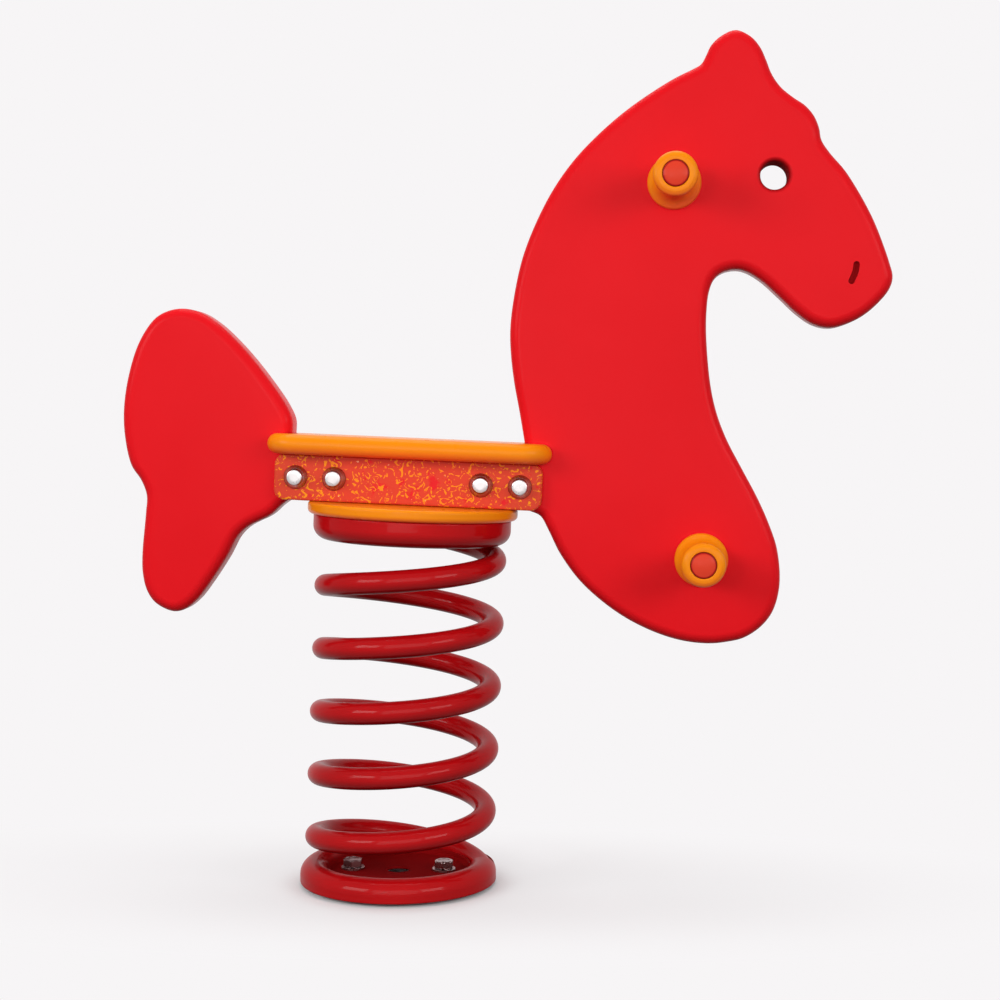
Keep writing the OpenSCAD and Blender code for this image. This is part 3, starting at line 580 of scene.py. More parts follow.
# The outer wall beside the slot: how its foot and top are rounded off, and its share of the roll's curve
slotWall = dict(footIn=0.4, footOut=0.5, topIn=0.25, topDown=0.3, sideDown=0.9, curveShare=0.93,
                curveSteps=10)
wideStep = 1000.0  # wider than a section, so that its flat ends get no points inside


# The sheet's middle line from the centre hole out: flat floor and a bend up, then either the roll over the
# wire and the outer wall down to its edge, or, beside the slot, an upright wall
def sheetLine(rolled, edgeZ):
    rollR = retainer["channelR"] + retainer["sheet"] / 2
    centre = np.array([spring["coilR"], spring["lowZ"]])
    floorZ = retainer["floorZ"] - retainer["sheet"] / 2
    inner = centre[0] - rollR
    floorRun = inner - retainer["floorEnd"] - retainer["holeR"]
    floorLine = [[retainer["holeR"] + share * floorRun, floorZ] for share in retainer["floorShares"]]
    bend = [[inner - back, floorZ + up] for back, up in retainer["bend"]]
    if rolled:
        drop = centre[1] - edgeZ - retainer["sheet"] / 2
        roll = arc(centre, rollR, retainer["rollFromDeg"], 0, retainer["rollSteps"])
        skirt = [[centre[0] + rollR, centre[1] - drop * share] for share in retainer["skirtShares"]]
        rest = np.concatenate([roll, skirt])
    else:
        wallRun = retainer["wallTop"] - retainer["wallLip"] - floorZ - retainer["wallFrom"]
        rest = [[inner, floorZ + retainer["wallFrom"] + share * wallRun] for share in retainer["wallShares"]]
    return smoothCurve(np.concatenate([floorLine, bend, rest]), retainer["curveSteps"])


# Sheet of even thickness about its middle line, as a closed loop with round lips at both ends
def sheetLoop(line):
    side = sideOf(line, False)
    half = retainer["sheet"] / 2
    lipTurn = np.radians(np.linspace(0, 180, retainer["lipSteps"] + 1)[1:-1])[:, None]
    ahead = np.stack([-side[:, 1], side[:, 0]], -1)
    endLip = line[-1] + half * (np.cos(lipTurn) * side[-1] + np.sin(lipTurn) * ahead[-1])
    startLip = line[0] - half * (np.cos(lipTurn) * side[0] + np.sin(lipTurn) * ahead[0])
    return np.concatenate([line + half * side, endLip, (line - half * side)[::-1], startLip])


# Outer wall left standing beside the slot: upright inside, outside upright and then round as the roll
def outerWallLoop(low):
    centre, top = np.array([spring["coilR"], spring["lowZ"]]), retainer["wallTop"]
    inner = centre[0] + retainer["slotHalf"]
    topDeg = np.degrees(np.arccos(retainer["slotHalf"] / retainer["rimR"]))
    outside = arc(centre, retainer["rimR"], 0, topDeg * slotWall["curveShare"], slotWall["curveSteps"])
    outer = outside[0, 0]
    foot = [[inner + slotWall["footIn"], low], [outer - slotWall["footOut"], low],
            [outer, low + slotWall["footOut"]]]
    crest = [[inner + slotWall["topIn"], top - slotWall["topDown"]], [inner, top - slotWall["sideDown"]],
             [inner, low + slotWall["footIn"]]]
    return np.concatenate([foot, outside, crest])


# A closed loop of radii and heights, turned from one angle to another, with a flat face at both ends
def sectorShape(loop, fromDeg, toDeg):
    x, z = loop.T
    doubleArea = np.sum(x * np.roll(z, -1) - np.roll(x, -1) * z)  # negative where the loop runs clockwise
    loop = loop[::-1] if doubleArea < 0 else loop
    deg = np.linspace(fromDeg, toDeg, int((toDeg - fromDeg) / retainer["stepDeg"]) + 1)
    a = np.radians(deg)[:, None]
    rings = np.stack(np.broadcast_arrays(loop[:, 0] * np.cos(a), loop[:, 0] * np.sin(a), loop[:, 1]), -1)
    _, cap = flatFill([loop], wideStep)
    tris = np.concatenate([cap, cap[:, ::-1] + (len(deg) - 1) * len(loop)])
    return rings.reshape(-1, 3), gridQuads(len(deg), len(loop))[:, ::-1], tris


# Dish in three sectors: the rolled rim, and along the slot the floor with its upright wall and the outer wall
def retainerShape(slotFrom, slotTo, edgeZ):
    return joined([sectorShape(sheetLoop(sheetLine(True, edgeZ)), slotTo, slotFrom + 360),
                   sectorShape(sheetLoop(sheetLine(False, edgeZ)), slotFrom, slotTo),
                   sectorShape(outerWallLoop(edgeZ), slotFrom, slotTo)])


# Share of the way into the dish, whose floor lies in shade: none on the rim, full from the wall inwards
def dishHollow(shape):
    shadeR = spring["coilR"] - retainer["shadeFrom"]
    return np.clip((shadeR - axisDistance(shape)) / retainer["shadeWide"], 0, 1)


def buildRetainers():
    slotFrom = spring["exitDeg"] + retainer["slotLate"]  # the wire has risen by less than the gap until there
    base = retainerShape(slotFrom, spring["exitDeg"] + retainer["baseSlot"], retainer["baseEdgeZ"])
    top = retainerShape(spring["topDeg"] - retainer["topSlot"], spring["topDeg"], retainer["topEdgeZ"])
    top = leaned(upsideDown(top, saddle["springTop"]))
    basePiece = makePiece("baseDish", base, paintMaterial, hollow=dishHollow(base))
    topPiece = makePiece("topDish", top, paintMaterial)
    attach(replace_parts(basePiece, "base_retainer"), "base")
    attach(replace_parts(topPiece, "top_retainer"), "rider")


buildRetainers()
print("retainers pressed")


# Support disc

disc = dict(dia=213, lowerR=5, upperR=3, lowerSteps=12, upperSteps=10, rimStrip=1, segments=192)


# Plate of revolution: flat below, a wide round on the lower edge and a smaller one on the upper edge
def buildDisc():
    r, t, low, high = disc["dia"] / 2, saddle["discThick"], disc["lowerR"], disc["upperR"]
    profile = np.concatenate([
        [[0, 0], [r / 2, 0], [r - low - disc["rimStrip"], 0]],
        arc([r - low, low], low, -90, 0, disc["lowerSteps"]),
        arc([r - high, t - high], high, 0, 90, disc["upperSteps"]),
        [[r - high - disc["rimStrip"], t], [r / 2, t], [0, t]]])
    plate = leaned(moved(turnedProfile(profile, disc["segments"]), [0, 0, saddle["springTop"]]))
    piece = makePiece("supportDisc", plate, orangeMaterial)
    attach(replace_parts(piece, "support_disc"), "rider")


buildDisc()
print("disc turned")


# Saddle boards

cheek = dict(length=270, height=46.5, thick=9, cornerR=11, edgeR=2, lift=0.5)
# The notch's walls start inwards of the round edge; the slacks pick the outline's points at its mouth
seat = dict(length=286, width=110, thick=20, cornerR=30, edgeR=9.5, notchGap=0.3, wallIn=1.4, endSlack=0.01,
            cutSlack=0.5, step=12)
cheek["middleZ"] = saddle["z"] + cheek["lift"] + cheek["height"] / 2
seat["z"] = saddle["z"] + cheek["lift"] + cheek["height"]


# Rectangle with round corners about the origin, anticlockwise, with points along its straight sides
def roundRectangle(length, width, r, steps=16, spacing=6):
    x, y = length / 2 - r, width / 2 - r
    corners = [([x, -y], -90), ([x, y], 0), ([-x, y], 90), ([-x, -y], 180)]
    arcs = [arc(centre, r, start, start + 90, steps) for centre, start in corners]
    sides = []
    for here, after in zip(arcs, arcs[1:] + arcs[:1]):
        count = max(2, int(np.linalg.norm(after[0] - here[-1]) / spacing))
        share = (np.arange(1, count) / count)[:, None]
        sides.append(here[-1] + share * (after[0] - here[-1]))
    return np.concatenate([part for pair in zip(arcs, sides) for part in pair])


def buildCheeks():
    outline = roundRectangle(cheek["length"], cheek["height"], cheek["cornerR"])
    board = standing(softBoard(outline, np.full(len(outline), cheek["edgeR"]), cheek["thick"]))
    for name, node, side in (("cheekNear", "cheek_near", -1), ("cheekFar", "cheek_far", 1)):
        y = side * (saddle["panelThick"] + cheek["thick"]) / 2
        placed = leaned(moved(board, [-saddle["back"], y, cheek["middleZ"]]))
        piece = makePiece(name, placed, mottledMaterial)
        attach(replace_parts(piece, node), "rider")


buildCheeks()
print("cheeks cut")

# The seat is notched around the figure's roots, so the figure's sizes come before it
figure = dict(neckX=92, headReach=375, headH=482.5, chestDrop=125, tailX=122, tailReach=177.5, tailRise=189,
              tailDrop=120, edgeR=10, squareR=1, tongueGap=2, neckRootShare=0.052, tailRootShare=0.015,
              curveSteps=8, spacing=3.2, betweenSlack=1, meanReach=3)
figure["neckRootX"] = figure["neckX"] + figure["headReach"] * figure["neckRootShare"]
figure["tailRootX"] = -figure["tailX"] - figure["tailReach"] * figure["tailRootShare"]
figure["seatTop"] = seat["z"] + seat["thick"]

# The pit's shares are of the way from its wide mouth to the bore, and of the head's depth; the rim's points
# are given in from the head's edge and down
screws = dict(dia=8, headDia=15.2, gap=0.3, socketDia=5.8, socketDepth=3, places=(-96.9, -23.5, 23.5, 90.1),
              pitShares=((0, 0), (0.25, 0.25), (1, 1), (1, 1.6)), pitSides=48, headSides=64, sunk=0.02,
              rim=((0.2, 0.35), (0, 0.15), (0.25, 0)), stemShare=1.5, socketRound=0.4, socketShare=0.85)


# The seat's outline, with each point's edge radius and sideways direction: a rectangle with round corners,
# cut square at both ends around the panels. Where a cut leaves through the round edge, the point keeps the
# edge's own direction, so the cut face is flat.
def seatOutline():
    halfL, halfCut = seat["length"] / 2, saddle["panelThick"] / 2 + seat["notchGap"]
    frontCut = figure["neckRootX"] - seat["notchGap"] + saddle["back"]
    backCut = figure["tailRootX"] + seat["notchGap"] + saddle["back"]
    notches = []
    for sign, cut in ((1, frontCut), (-1, backCut)):  # mouth, wall and floor of one notch, anticlockwise
        wall = sign * (halfL - seat["edgeR"] - seat["wallIn"])
        inwards = [(sign * halfL, seat["edgeR"], sign), (wall, 0, 0), (cut, 0, 0)]
        rows = [(x, -sign * halfCut, r, way, 0) for x, r, way in inwards]
        rows += [(x, sign * halfCut, r, way, 0) for x, r, way in inwards[::-1]]
        notches.append(np.array(rows, float))
    front, back = notches
    outer = roundRectangle(seat["length"], seat["width"], seat["cornerR"])
    outerSide = sideOf(outer, True)
    atMouth = np.abs(outer[:, 0]) > halfL - seat["endSlack"]
    atMouth &= np.abs(outer[:, 1]) < halfCut + seat["cutSlack"]
    keep = np.flatnonzero(~atMouth)
    order = keep[np.argsort(np.arctan2(outer[keep, 1], outer[keep, 0]))]
    angles = np.arctan2(outer[order, 1], outer[order, 0])
    body = np.concatenate([outer[order], np.full((len(order), 1), seat["edgeR"]), outerSide[order]], -1)
    table = np.concatenate([front[3:], body[angles > 0], back, body[angles < 0], front[:3]])
    return table[:, :2], table[:, 2], table[:, 3:]


# Rings of a screw's pit: the radius narrows with the cone of the head, then stays that of the bore
def screwPit(x):
    wide, narrow = screws["headDia"] / 2 + screws["gap"], screws["dia"] / 2 + 2 * screws["gap"]
    inward, down = np.array(screws["pitShares"]).T
    line = np.stack([(1 - inward) * wide + inward * narrow, seat["thick"] / 2 - down * screws["dia"] / 2], -1)
    return turnedRings(line, screws["pitSides"]) + [x + saddle["back"], 0, 0]


def buildSeat():
    outline, radii, side = seatOutline()
    pits = [screwPit(x) for x in screws["places"]]
    board = softBoard(outline, radii, seat["thick"], side=side, highPits=pits, step=seat["step"])
    board = leaned(moved(board, [-saddle["back"], 0, seat["z"] + seat["thick"] / 2]))
    piece = makePiece("seatBoard", board, orangeMaterial)
    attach(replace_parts(piece, "seat"), "rider")


buildSeat()
print("seat cut")


# Figure

# Shares of the head's reach forward and of its height, or of the chest's drop below the saddle
frontShares = [
    (0.072, 0), (0.102, -0.04), (0.126, -0.154), (0.158, -0.33), (0.213, -0.54), (0.28, -0.71),
    (0.35, -0.84), (0.43, -0.94), (0.5, -0.99), (0.567, -1), (0.613, -0.98), (0.658, -0.94),
    (0.703, -0.84), (0.732, -0.71), (0.746, -0.5), (0.735, -0.22), (0.71, -0.02), (0.676, 0.048),
    (0.632, 0.106), (0.588, 0.165), (0.559, 0.217), (0.539, 0.274), (0.522, 0.37), (0.519, 0.425),
    (0.523, 0.467), (0.535, 0.493), (0.555, 0.507), (0.588, 0.514), (0.616, 0.511), (0.657, 0.494),
    (0.707, 0.462), (0.756, 0.429), (0.8, 0.408), (0.843, 0.402), (0.885, 0.411), (0.927, 0.429),
    (0.965, 0.456), (0.993, 0.486), (1, 0.511), (0.99, 0.538), (0.971, 0.576), (0.941, 0.627),
    (0.905, 0.675), (0.862, 0.723), (0.82, 0.758), (0.797, 0.783), (0.79, 0.806), (0.775, 0.831),
    (0.75, 0.852), (0.719, 0.867), (0.684, 0.888), (0.659, 0.914), (0.644, 0.94), (0.626, 0.967),
    (0.6, 0.988), (0.56, 1), (0.524, 0.988), (0.498, 0.968), (0.485, 0.945), (0.474, 0.929),
    (0.454, 0.919), (0.408, 0.9), (0.349, 0.87), (0.284, 0.832), (0.219, 0.786), (0.154, 0.73),
    (0.103, 0.671), (0.06, 0.602), (0.026, 0.526), (0.007, 0.446), (0, 0.375), (0.005, 0.32),
    (0.017, 0.263), (0.034, 0.205)]
# Shares of the tail's reach backward and of its rise, or of its drop below the saddle
tailShares = [
    (0.018, 0.431), (0.063, 0.515), (0.156, 0.632), (0.262, 0.749), (0.366, 0.848),
    (0.47, 0.93), (0.573, 0.984), (0.675, 1), (0.761, 0.984), (0.835, 0.941),
    (0.919, 0.819), (0.975, 0.645), (1, 0.45), (0.987, 0.291), (0.944, 0.144), (0.884, 0.066),
    (0.85, -0.02), (0.852, -0.17), (0.865, -0.53), (0.859, -0.685), (0.83, -0.835),
    (0.777, -0.936), (0.676, -1), (0.612, -0.983), (0.538, -0.895), (0.466, -0.747),
    (0.37, -0.511), (0.311, -0.335), (0.251, -0.245), (0.127, -0.142), (0.062, -0.05), (0.02, 0)]
handGripShare, footRestShare, eyeShare = (0.418, 0.685), (0.535, -0.326), (0.679, 0.707)
nostrilShares = [(0.902, 0.532), (0.9, 0.517), (0.891, 0.498)]


# Places along and above the saddle from shares
def frontPlace(shares):
    s = np.atleast_2d(shares)
    z = saddle["z"] + s[:, 1] * np.where(s[:, 1] < 0, figure["chestDrop"], figure["headH"])
    return np.stack([figure["neckX"] + figure["headReach"] * s[:, 0], z], -1)


def tailPlace(shares):
    s = np.atleast_2d(shares)
    z = saddle["z"] + s[:, 1] * np.where(s[:, 1] < 0, figure["tailDrop"], figure["tailRise"])
    return np.stack([-figure["tailX"] - figure["tailReach"] * s[:, 0], z], -1)


# A panel's outline with its tongue, at even spacing, and its edge radii: small between the cheeks, with a
# running mean so that they change gently
def panelOutline(curve, tongue):
    line = np.concatenate([curve, tongue, curve[:1]])
    length = np.concatenate([[0], np.cumsum(np.linalg.norm(np.diff(line, axis=0), axis=1))])
    at = np.linspace(0, length[-1], int(length[-1] / figure["spacing"]), endpoint=False)
    outline = np.stack([np.interp(at, length, line[:, k]) for k in (0, 1)], -1)
    slack, reach = figure["betweenSlack"], figure["meanReach"]
    between = (outline[:, 1] > saddle["z"] - slack) & (outline[:, 1] < seat["z"] + slack)
    between &= np.abs(outline[:, 0] + saddle["back"]) < cheek["length"] / 2
    radii = np.where(between, figure["squareR"], figure["edgeR"])
    spread = np.concatenate([radii[-reach:], radii, radii[:reach]])
    window = 2 * reach + 1
    return outline, np.convolve(spread, np.full(window, 1 / window), "valid")


eye = dict(dia=28, bevel=4, bevelSteps=8, sides=96)
nostril = dict(width=6.2, depth=4, rings=8, lastShare=0.93, lineSteps=6, endSteps=10, reach=20)
faceSlack = 0.02  # what lies no further than this below a face is on it


# Rings of the eye's hole from face to face: a quarter round into the throat at each end
def eyeTunnel(place):
    half = saddle["panelThick"] / 2
    turn = np.radians(np.linspace(0, 90, eye["bevelSteps"] + 1))
    r = eye["dia"] / 2 + eye["bevel"] * (1 - np.sin(turn))
    depth = eye["bevel"] * (1 - np.cos(turn))
    r, y = np.concatenate([r, r[::-1]]), np.concatenate([-half + depth, half - depth[::-1]])
    return turnedRings(np.stack([r, y], -1), eye["sides"]) + [*place, 0]


# Rings of the nostril's groove: a smooth middle line, widened to both sides and closed by half circles,
# whose width shrinks as the groove deepens by a quarter ellipse
def nostrilPit(places, side):
    line = smoothCurve(places, nostril["lineSteps"])
    across = sideOf(line, False)
    startDeg, endDeg = (np.degrees(np.arctan2(across[k, 1], across[k, 0])) for k in (0, -1))
    rings = []
    for share in np.linspace(0, nostril["lastShare"], nostril["rings"]):
        r = nostril["width"] / 2 * np.sqrt(1 - share**2)
        endCap = arc(line[-1], r, endDeg, endDeg + 180, nostril["endSteps"])[1:-1]
        startCap = arc(line[0], r, startDeg + 180, startDeg + 360, nostril["endSteps"])[1:-1]
        loop = np.concatenate([line + r * across, endCap, (line - r * across)[::-1], startCap])
        w = side * (saddle["panelThick"] / 2 - share * nostril["depth"])
        rings.append(np.concatenate([loop, np.full((len(loop), 1), w)], -1))
    return np.stack(rings)


# Painted shade in the eye and the nostril, by how deep in them a point of the lying board is: in the eye by
# its distance from the axis, in the nostril wherever it is below the face
def faceHollow(board, eyePlace, nostrilPlace):
    x, z, w = board[0].T
    beyond = np.hypot(x - eyePlace[0], z - eyePlace[1]) - eye["dia"] / 2
    near = np.hypot(x - nostrilPlace[0], z - nostrilPlace[1]) < nostril["reach"]
    below = np.abs(w) < saddle["panelThick"] / 2 - faceSlack
    return np.maximum(np.clip(1 - beyond / eye["bevel"], 0, 1), near & below)


def buildHead():
    root, gap = [figure["neckRootX"], figure["seatTop"]], figure["tongueGap"] / 2
    curve = smoothCurve(np.concatenate([frontPlace(frontShares), [root]]), figure["curveSteps"])
    tongue = [[root[0], seat["z"]], [gap, seat["z"]], [gap, saddle["z"]]]
    outline, radii = panelOutline(curve, tongue)
    eyePlace, nostrilPlaces = frontPlace(eyeShare)[0], frontPlace(nostrilShares)
    board = softBoard(outline, radii, saddle["panelThick"], tunnels=[eyeTunnel(eyePlace)],
                      lowPits=[nostrilPit(nostrilPlaces, -1)], highPits=[nostrilPit(nostrilPlaces, 1)])
    shade = faceHollow(board, eyePlace, nostrilPlaces[1])
    onFace = np.abs(board[0][:, 2]) > saddle["panelThick"] / 2 - faceSlack
    head = makePiece("headPanel", leaned(standing(board)), redBoardMaterial,
                     hollow=shade, upright=onFace)
    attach(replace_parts(head, "front_panel"), "rider")


def buildTail():
    root, gap = [figure["tailRootX"], figure["seatTop"]], figure["tongueGap"] / 2
    curve = smoothCurve(np.concatenate([[root], tailPlace(tailShares)]), figure["curveSteps"])
    tongue = [[-gap, saddle["z"]], [-gap, seat["z"]], [root[0], seat["z"]]]
    outline, radii = panelOutline(curve, tongue)
    board = softBoard(outline, radii, saddle["panelThick"])
    tail = makePiece("tailPanel", leaned(standing(board)), redBoardMaterial)
    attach(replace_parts(tail, "tail_panel"), "rider")


buildHead()
buildTail()
print("figure cut")


# Grips and foot rests

# The flange's painted shade and red reflection are full up to one share of the length and gone at the next
grip = dict(length=70, flangeDia=53, waistDia=33, endDia=43, recessDia=25.6, recessDepth=19, recessStep=5,
            floorShare=0.6, lipR=1, lipSteps=5, curveSteps=8, segments=144, insideSlack=0.1,
            shadeSlant=0.45, shadeRaise=0.1, shadeFull=0.3, shadeGone=0.4)
plug = dict(thick=4, dome=3, fitGap=0.3, midShare=0.7, edgeDown=0.6, edgeIn=0.2, edgeUp=0.05, crownShare=0.93,
            crownSteps=24, segments=96, shadeFrom=10.6, shadeWide=1.2)
# Share of the length, then share of the swell from the waist to the flange or to the end
footShares = [(0, 1), (0.035, 1), (0.06, 0.93), (0.085, 0.74), (0.12, 0.5), (0.18, 0.25), (0.28, 0.06)]
endShares = [(0.42, 0), (0.58, 0.12), (0.72, 0.45), (0.83, 0.82), (0.9, 1), (0.94, 0.98), (0.975, 0.74),
             (1, 0.2)]


# Handle of revolution: flange, waist and swelling end, then down into the recess for the plug
def gripShape():
    length, waist, flange = grip["length"], grip["waistDia"] / 2, grip["flangeDia"] / 2
    foot = [[waist + (flange - waist) * s, length * t] for t, s in footShares]
    end = [[waist + (grip["endDia"] / 2 - waist) * s, length * t] for t, s in endShares]
    recess, deep, lipR = grip["recessDia"] / 2, length - grip["recessDepth"], grip["lipR"]
    lip = arc([recess + lipR, length - lipR], lipR, 90, 180, grip["lipSteps"])
    well = [[recess, length - grip["recessStep"]], [recess, deep], [grip["floorShare"] * recess, deep],
            [0, deep]]
    outside = smoothCurve(foot + end, grip["curveSteps"])
    profile = np.concatenate([[[0, 0], [flange / 2, 0]], outside, lip, well])
    return turnedProfile(profile, grip["segments"])


# A part of a sphere that rises by a height over a circle, from a share of the way to its edge up to its top
def crownLine(r, rise, foot, edgeShare, steps):
    sphereR = (r * r + rise * rise) / (2 * rise)
    a = np.linspace(np.arcsin(r / sphereR) * edgeShare, 0, steps)
    return np.stack([sphereR * np.sin(a), foot + rise - sphereR * (1 - np.cos(a))], -1)


# Plug: a low dome with a small round at its edge and a straight stem below
def plugShape():
    r, length = grip["recessDia"] / 2 - plug["fitGap"], grip["length"]
    base = length - plug["thick"]
    edge = [[0, base], [plug["midShare"] * r, base], [r, base], [r, length - plug["edgeDown"]],
            [r - plug["edgeIn"], length + plug["edgeUp"]]]
    crown = crownLine(r, plug["dome"], length, plug["crownShare"], plug["crownSteps"])
    return turnedProfile(np.concatenate([edge, crown]), plug["segments"])


# How far the flange takes on painted shade and the painted reflection of the red board behind it: from its
# middle down, in the first part of the length
def flangeShade(shape):
    along, y, up = shape[0].T
    down = (grip["shadeSlant"] * along - up) / (grip["flangeDia"] / 2) + grip["shadeRaise"]
    near = (grip["shadeGone"] - np.abs(y) / grip["length"]) / (grip["shadeGone"] - grip["shadeFull"])
    return np.clip(down, 0, 1) * np.clip(near, 0, 1)


def buildGrips():
    sides = (("Near", -1), ("Far", 1))
    # Painted shade: the plugs darken towards their edge, where the gap to the grip lies, and the grips darken
    # inside their recesses
    plugShade = np.clip((axisDistance(plugShape()) - plug["shadeFrom"]) / plug["shadeWide"], 0, 1)
    inside = axisDistance(gripShape()) < grip["recessDia"] / 2 + grip["insideSlack"]
    for name, node, shares in (("handGrip", "hand_grip", handGripShare),
                               ("footRest", "foot_rest", footRestShare)):
        x, z = frontPlace(shares)[0]
        plugs = []
        for label, side in sides:
            place = [x, side * saddle["panelThick"] / 2, z]
            body = pointing(gripShape(), side)
            piece = makePiece(name + label, leaned(moved(body, place)), orangeMaterial,
                              hollow=inside, under=flangeShade(body))
            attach(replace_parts(piece, f"{node}_{label.lower()}"), "rider")
            plugs.append(leaned(moved(pointing(plugShape(), side), place)))
        piece = makePiece(name + "Caps", joined(plugs), capMaterial,
                          hollow=np.tile(plugShade, len(sides)))
        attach(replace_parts(piece, node + "_caps"), "rider")


buildGrips()
print("grips moulded")


# Fasteners that show

boltInsets = (22, 61)  # from either end of the cheeks
boltX = [-saddle["back"] + sign * (cheek["length"] / 2 - inset)
         for sign, insets in ((-1, boltInsets), (1, boltInsets[::-1])) for inset in insets]
# The cone's ends and the round of its top are given from the lip and the top's edge; rings are the painted
# reflection bands by radius and painted shade
coneNut = dict(dia=24, topDia=14.5, height=9, lip=1.2, chamfer=0.3, coneFoot=(0.25, 0.4), coneTop=(1.2, 1.7),
               coneSteps=14, topRound=((1.0, 1.3), (0.45, 0.45), (-0.4, 0)), roundSteps=4, segments=96,
               rings=((6.9, 0), (7.6, 0.9), (8.4, 0.55), (9.3, 0.1), (10.2, 0.5), (11.0, 0.35), (11.8, 0.9)))
domeHead = dict(dia=20, height=5.5, crownShare=0.985, crownSteps=24, segments=96)
# The dome's points by their angle and by their share of its rise
hexNut = dict(wide=18, height=8, levels=(0, 0.5, 1.1, 1.8), coneShare=0.94, coneSlope=1.75,
              domeDeg=(0, 0, 40, 75), domeShares=(1, 0, 0.6, 0.9), domeRise=0.6, sides=96)
# Washers on the ground anchor's studs, one on each side of the dish's floor; shade is the painted shade they
# and their nuts take all over
fixing = dict(place=47, thread=12, boreGap=0.3, washerDia=24, washerThick=2.5, washerEdge=0.35, sides=96,
              shade=0.7)
footShare = 0.6  # ring of points inside a flat underside
steelSharpDeg = 30


# Safety nut: a short cylinder, a cone and a flat top with a rounded edge
def coneNutShape():
    r, top, h = coneNut["dia"] / 2, coneNut["topDia"] / 2, coneNut["height"]
    lip, chamfer = coneNut["lip"], coneNut["chamfer"]
    footIn, footUp = coneNut["coneFoot"]
    topOut, topDown = coneNut["coneTop"]
    profile = np.concatenate([
        [[0, 0], [footShare * r, 0], [r - chamfer, 0], [r, chamfer], [r, lip]],
        np.linspace([r - footIn, lip + footUp], [top + topOut, h - topDown], coneNut["coneSteps"]),
        smoothCurve([[top + out, h - down] for out, down in coneNut["topRound"]], coneNut["roundSteps"]),
        [[top / 2, h], [0, h]]])
    return turnedProfile(profile, coneNut["segments"])


# Painted reflection rings on the nut's cone, by radius: dark at its foot and below its top, bright between;
# the flat top is bare
def coneNutPaintedRings(shape):
    places, shades = zip(*coneNut["rings"])
    return np.interp(axisDistance(shape), places, shades)


# Round bolt head: a part of a sphere over a flat underside
def domeHeadShape():
    r = domeHead["dia"] / 2
    crown = crownLine(r, domeHead["height"], 0, domeHead["crownShare"], domeHead["crownSteps"])
    return turnedProfile(np.concatenate([[[0, 0], [footShare * r, 0], [r, 0]], crown]), domeHead["segments"])


# Six-sided nut: the radius follows the flats, half width over the cosine of the angle from the nearest
# flat's middle, and a cone cuts the corners at both faces; a blunt dome closes its top
def hexNutShape():
    half, h, bore = hexNut["wide"] / 2, hexNut["height"], fixing["thread"] / 2
    a = np.linspace(0, 2 * np.pi, hexNut["sides"], endpoint=False)
    flats = half / np.cos((a + np.pi / 6) % (np.pi / 3) - np.pi / 6)
    near = np.array(hexNut["levels"])
    levels = np.concatenate([near, h - near[::-1]])
    cone = half * hexNut["coneShare"] + hexNut["coneSlope"] * np.minimum(levels, h - levels)
    r = np.minimum(flats, cone[:, None])
    rings = np.stack(np.broadcast_arrays(r * np.cos(a), r * np.sin(a), levels[:, None]), -1)
    domeZ = h - hexNut["domeRise"] + hexNut["domeRise"] * np.array(hexNut["domeShares"])
    dome = np.stack([bore * np.cos(np.radians(hexNut["domeDeg"])), domeZ], -1)
    return closedRings(np.concatenate([rings, turnedRings(dome, hexNut["sides"])]), 0, h)


# Countersunk screw head, flush, with a round socket sunk in its middle
def screwHeadShape():
    wide, narrow, sink = screws["headDia"] / 2, screws["dia"] / 2, screws["dia"] / 2
    socket, soft, depth = screws["socketDia"] / 2, screws["socketRound"], screws["socketDepth"]
    stem = screws["stemShare"] * sink
    rim = [[wide - back, -down] for back, down in screws["rim"]]
    profile = [[0, -stem], [narrow, -stem], [narrow, -sink], *rim, [socket + soft, 0], [socket, -soft],
               [socket, -depth * screws["socketShare"]], [0, -depth]]
    return turnedProfile(profile, screws["headSides"])


def washerShape():
    inner, outer = fixing["thread"] / 2 + fixing["boreGap"], fixing["washerDia"] / 2
    t, e = fixing["washerThick"], fixing["washerEdge"]
    loop = [[inner, 0], [outer - e, 0], [outer, e], [outer, t - e], [outer - e, t], [inner, t]]
    return turnedLoop(loop, fixing["sides"])


def buildFasteners():
    y, headZ = saddle["panelThick"] / 2 + cheek["thick"], figure["seatTop"] - screws["sunk"]
    nuts = joined([moved(pointing(coneNutShape(), -1), [x, -y, cheek["middleZ"]]) for x in boltX])
    nutPaintedRings = np.tile(coneNutPaintedRings(coneNutShape()), len(boltX))
    heads = joined([moved(pointing(domeHeadShape(), 1), [x, y, cheek["middleZ"]]) for x in boltX])
    screwHeads = joined([moved(screwHeadShape(), [x, 0, headZ]) for x in screws["places"]])
    for name, node, shape, hollow in (("cheekNuts", "cheek_nuts", nuts, nutPaintedRings),
                                      ("cheekBoltHeads", "cheek_bolts", heads, None),
                                      ("seatScrewHeads", "seat_screws", screwHeads, None)):
        piece = makePiece(name, leaned(shape), steelMaterial, steelSharpDeg, hollow)
        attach(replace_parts(piece, node), "rider")
    places = [[sign * fixing["place"], 0, retainer["floorZ"]] for sign in (-1, 1)]
    washers = joined([moved(washerShape(), place) for place in places])
    hexNuts = joined([moved(hexNutShape(), [x, 0, z + fixing["washerThick"]]) for x, _, z in places])
    for name, node, shape in (("baseWashers", "base_washers", washers), ("baseNuts", "base_nuts", hexNuts)):
        # Painted shade over the whole of the base washers and nuts, which sit in the dish's dark inside
        shade = np.full(len(shape[0]), fixing["shade"])
        piece = makePiece(name, shape, steelMaterial, steelSharpDeg, shade)
        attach(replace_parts(piece, node), "base")


buildFasteners()
print("fasteners set")


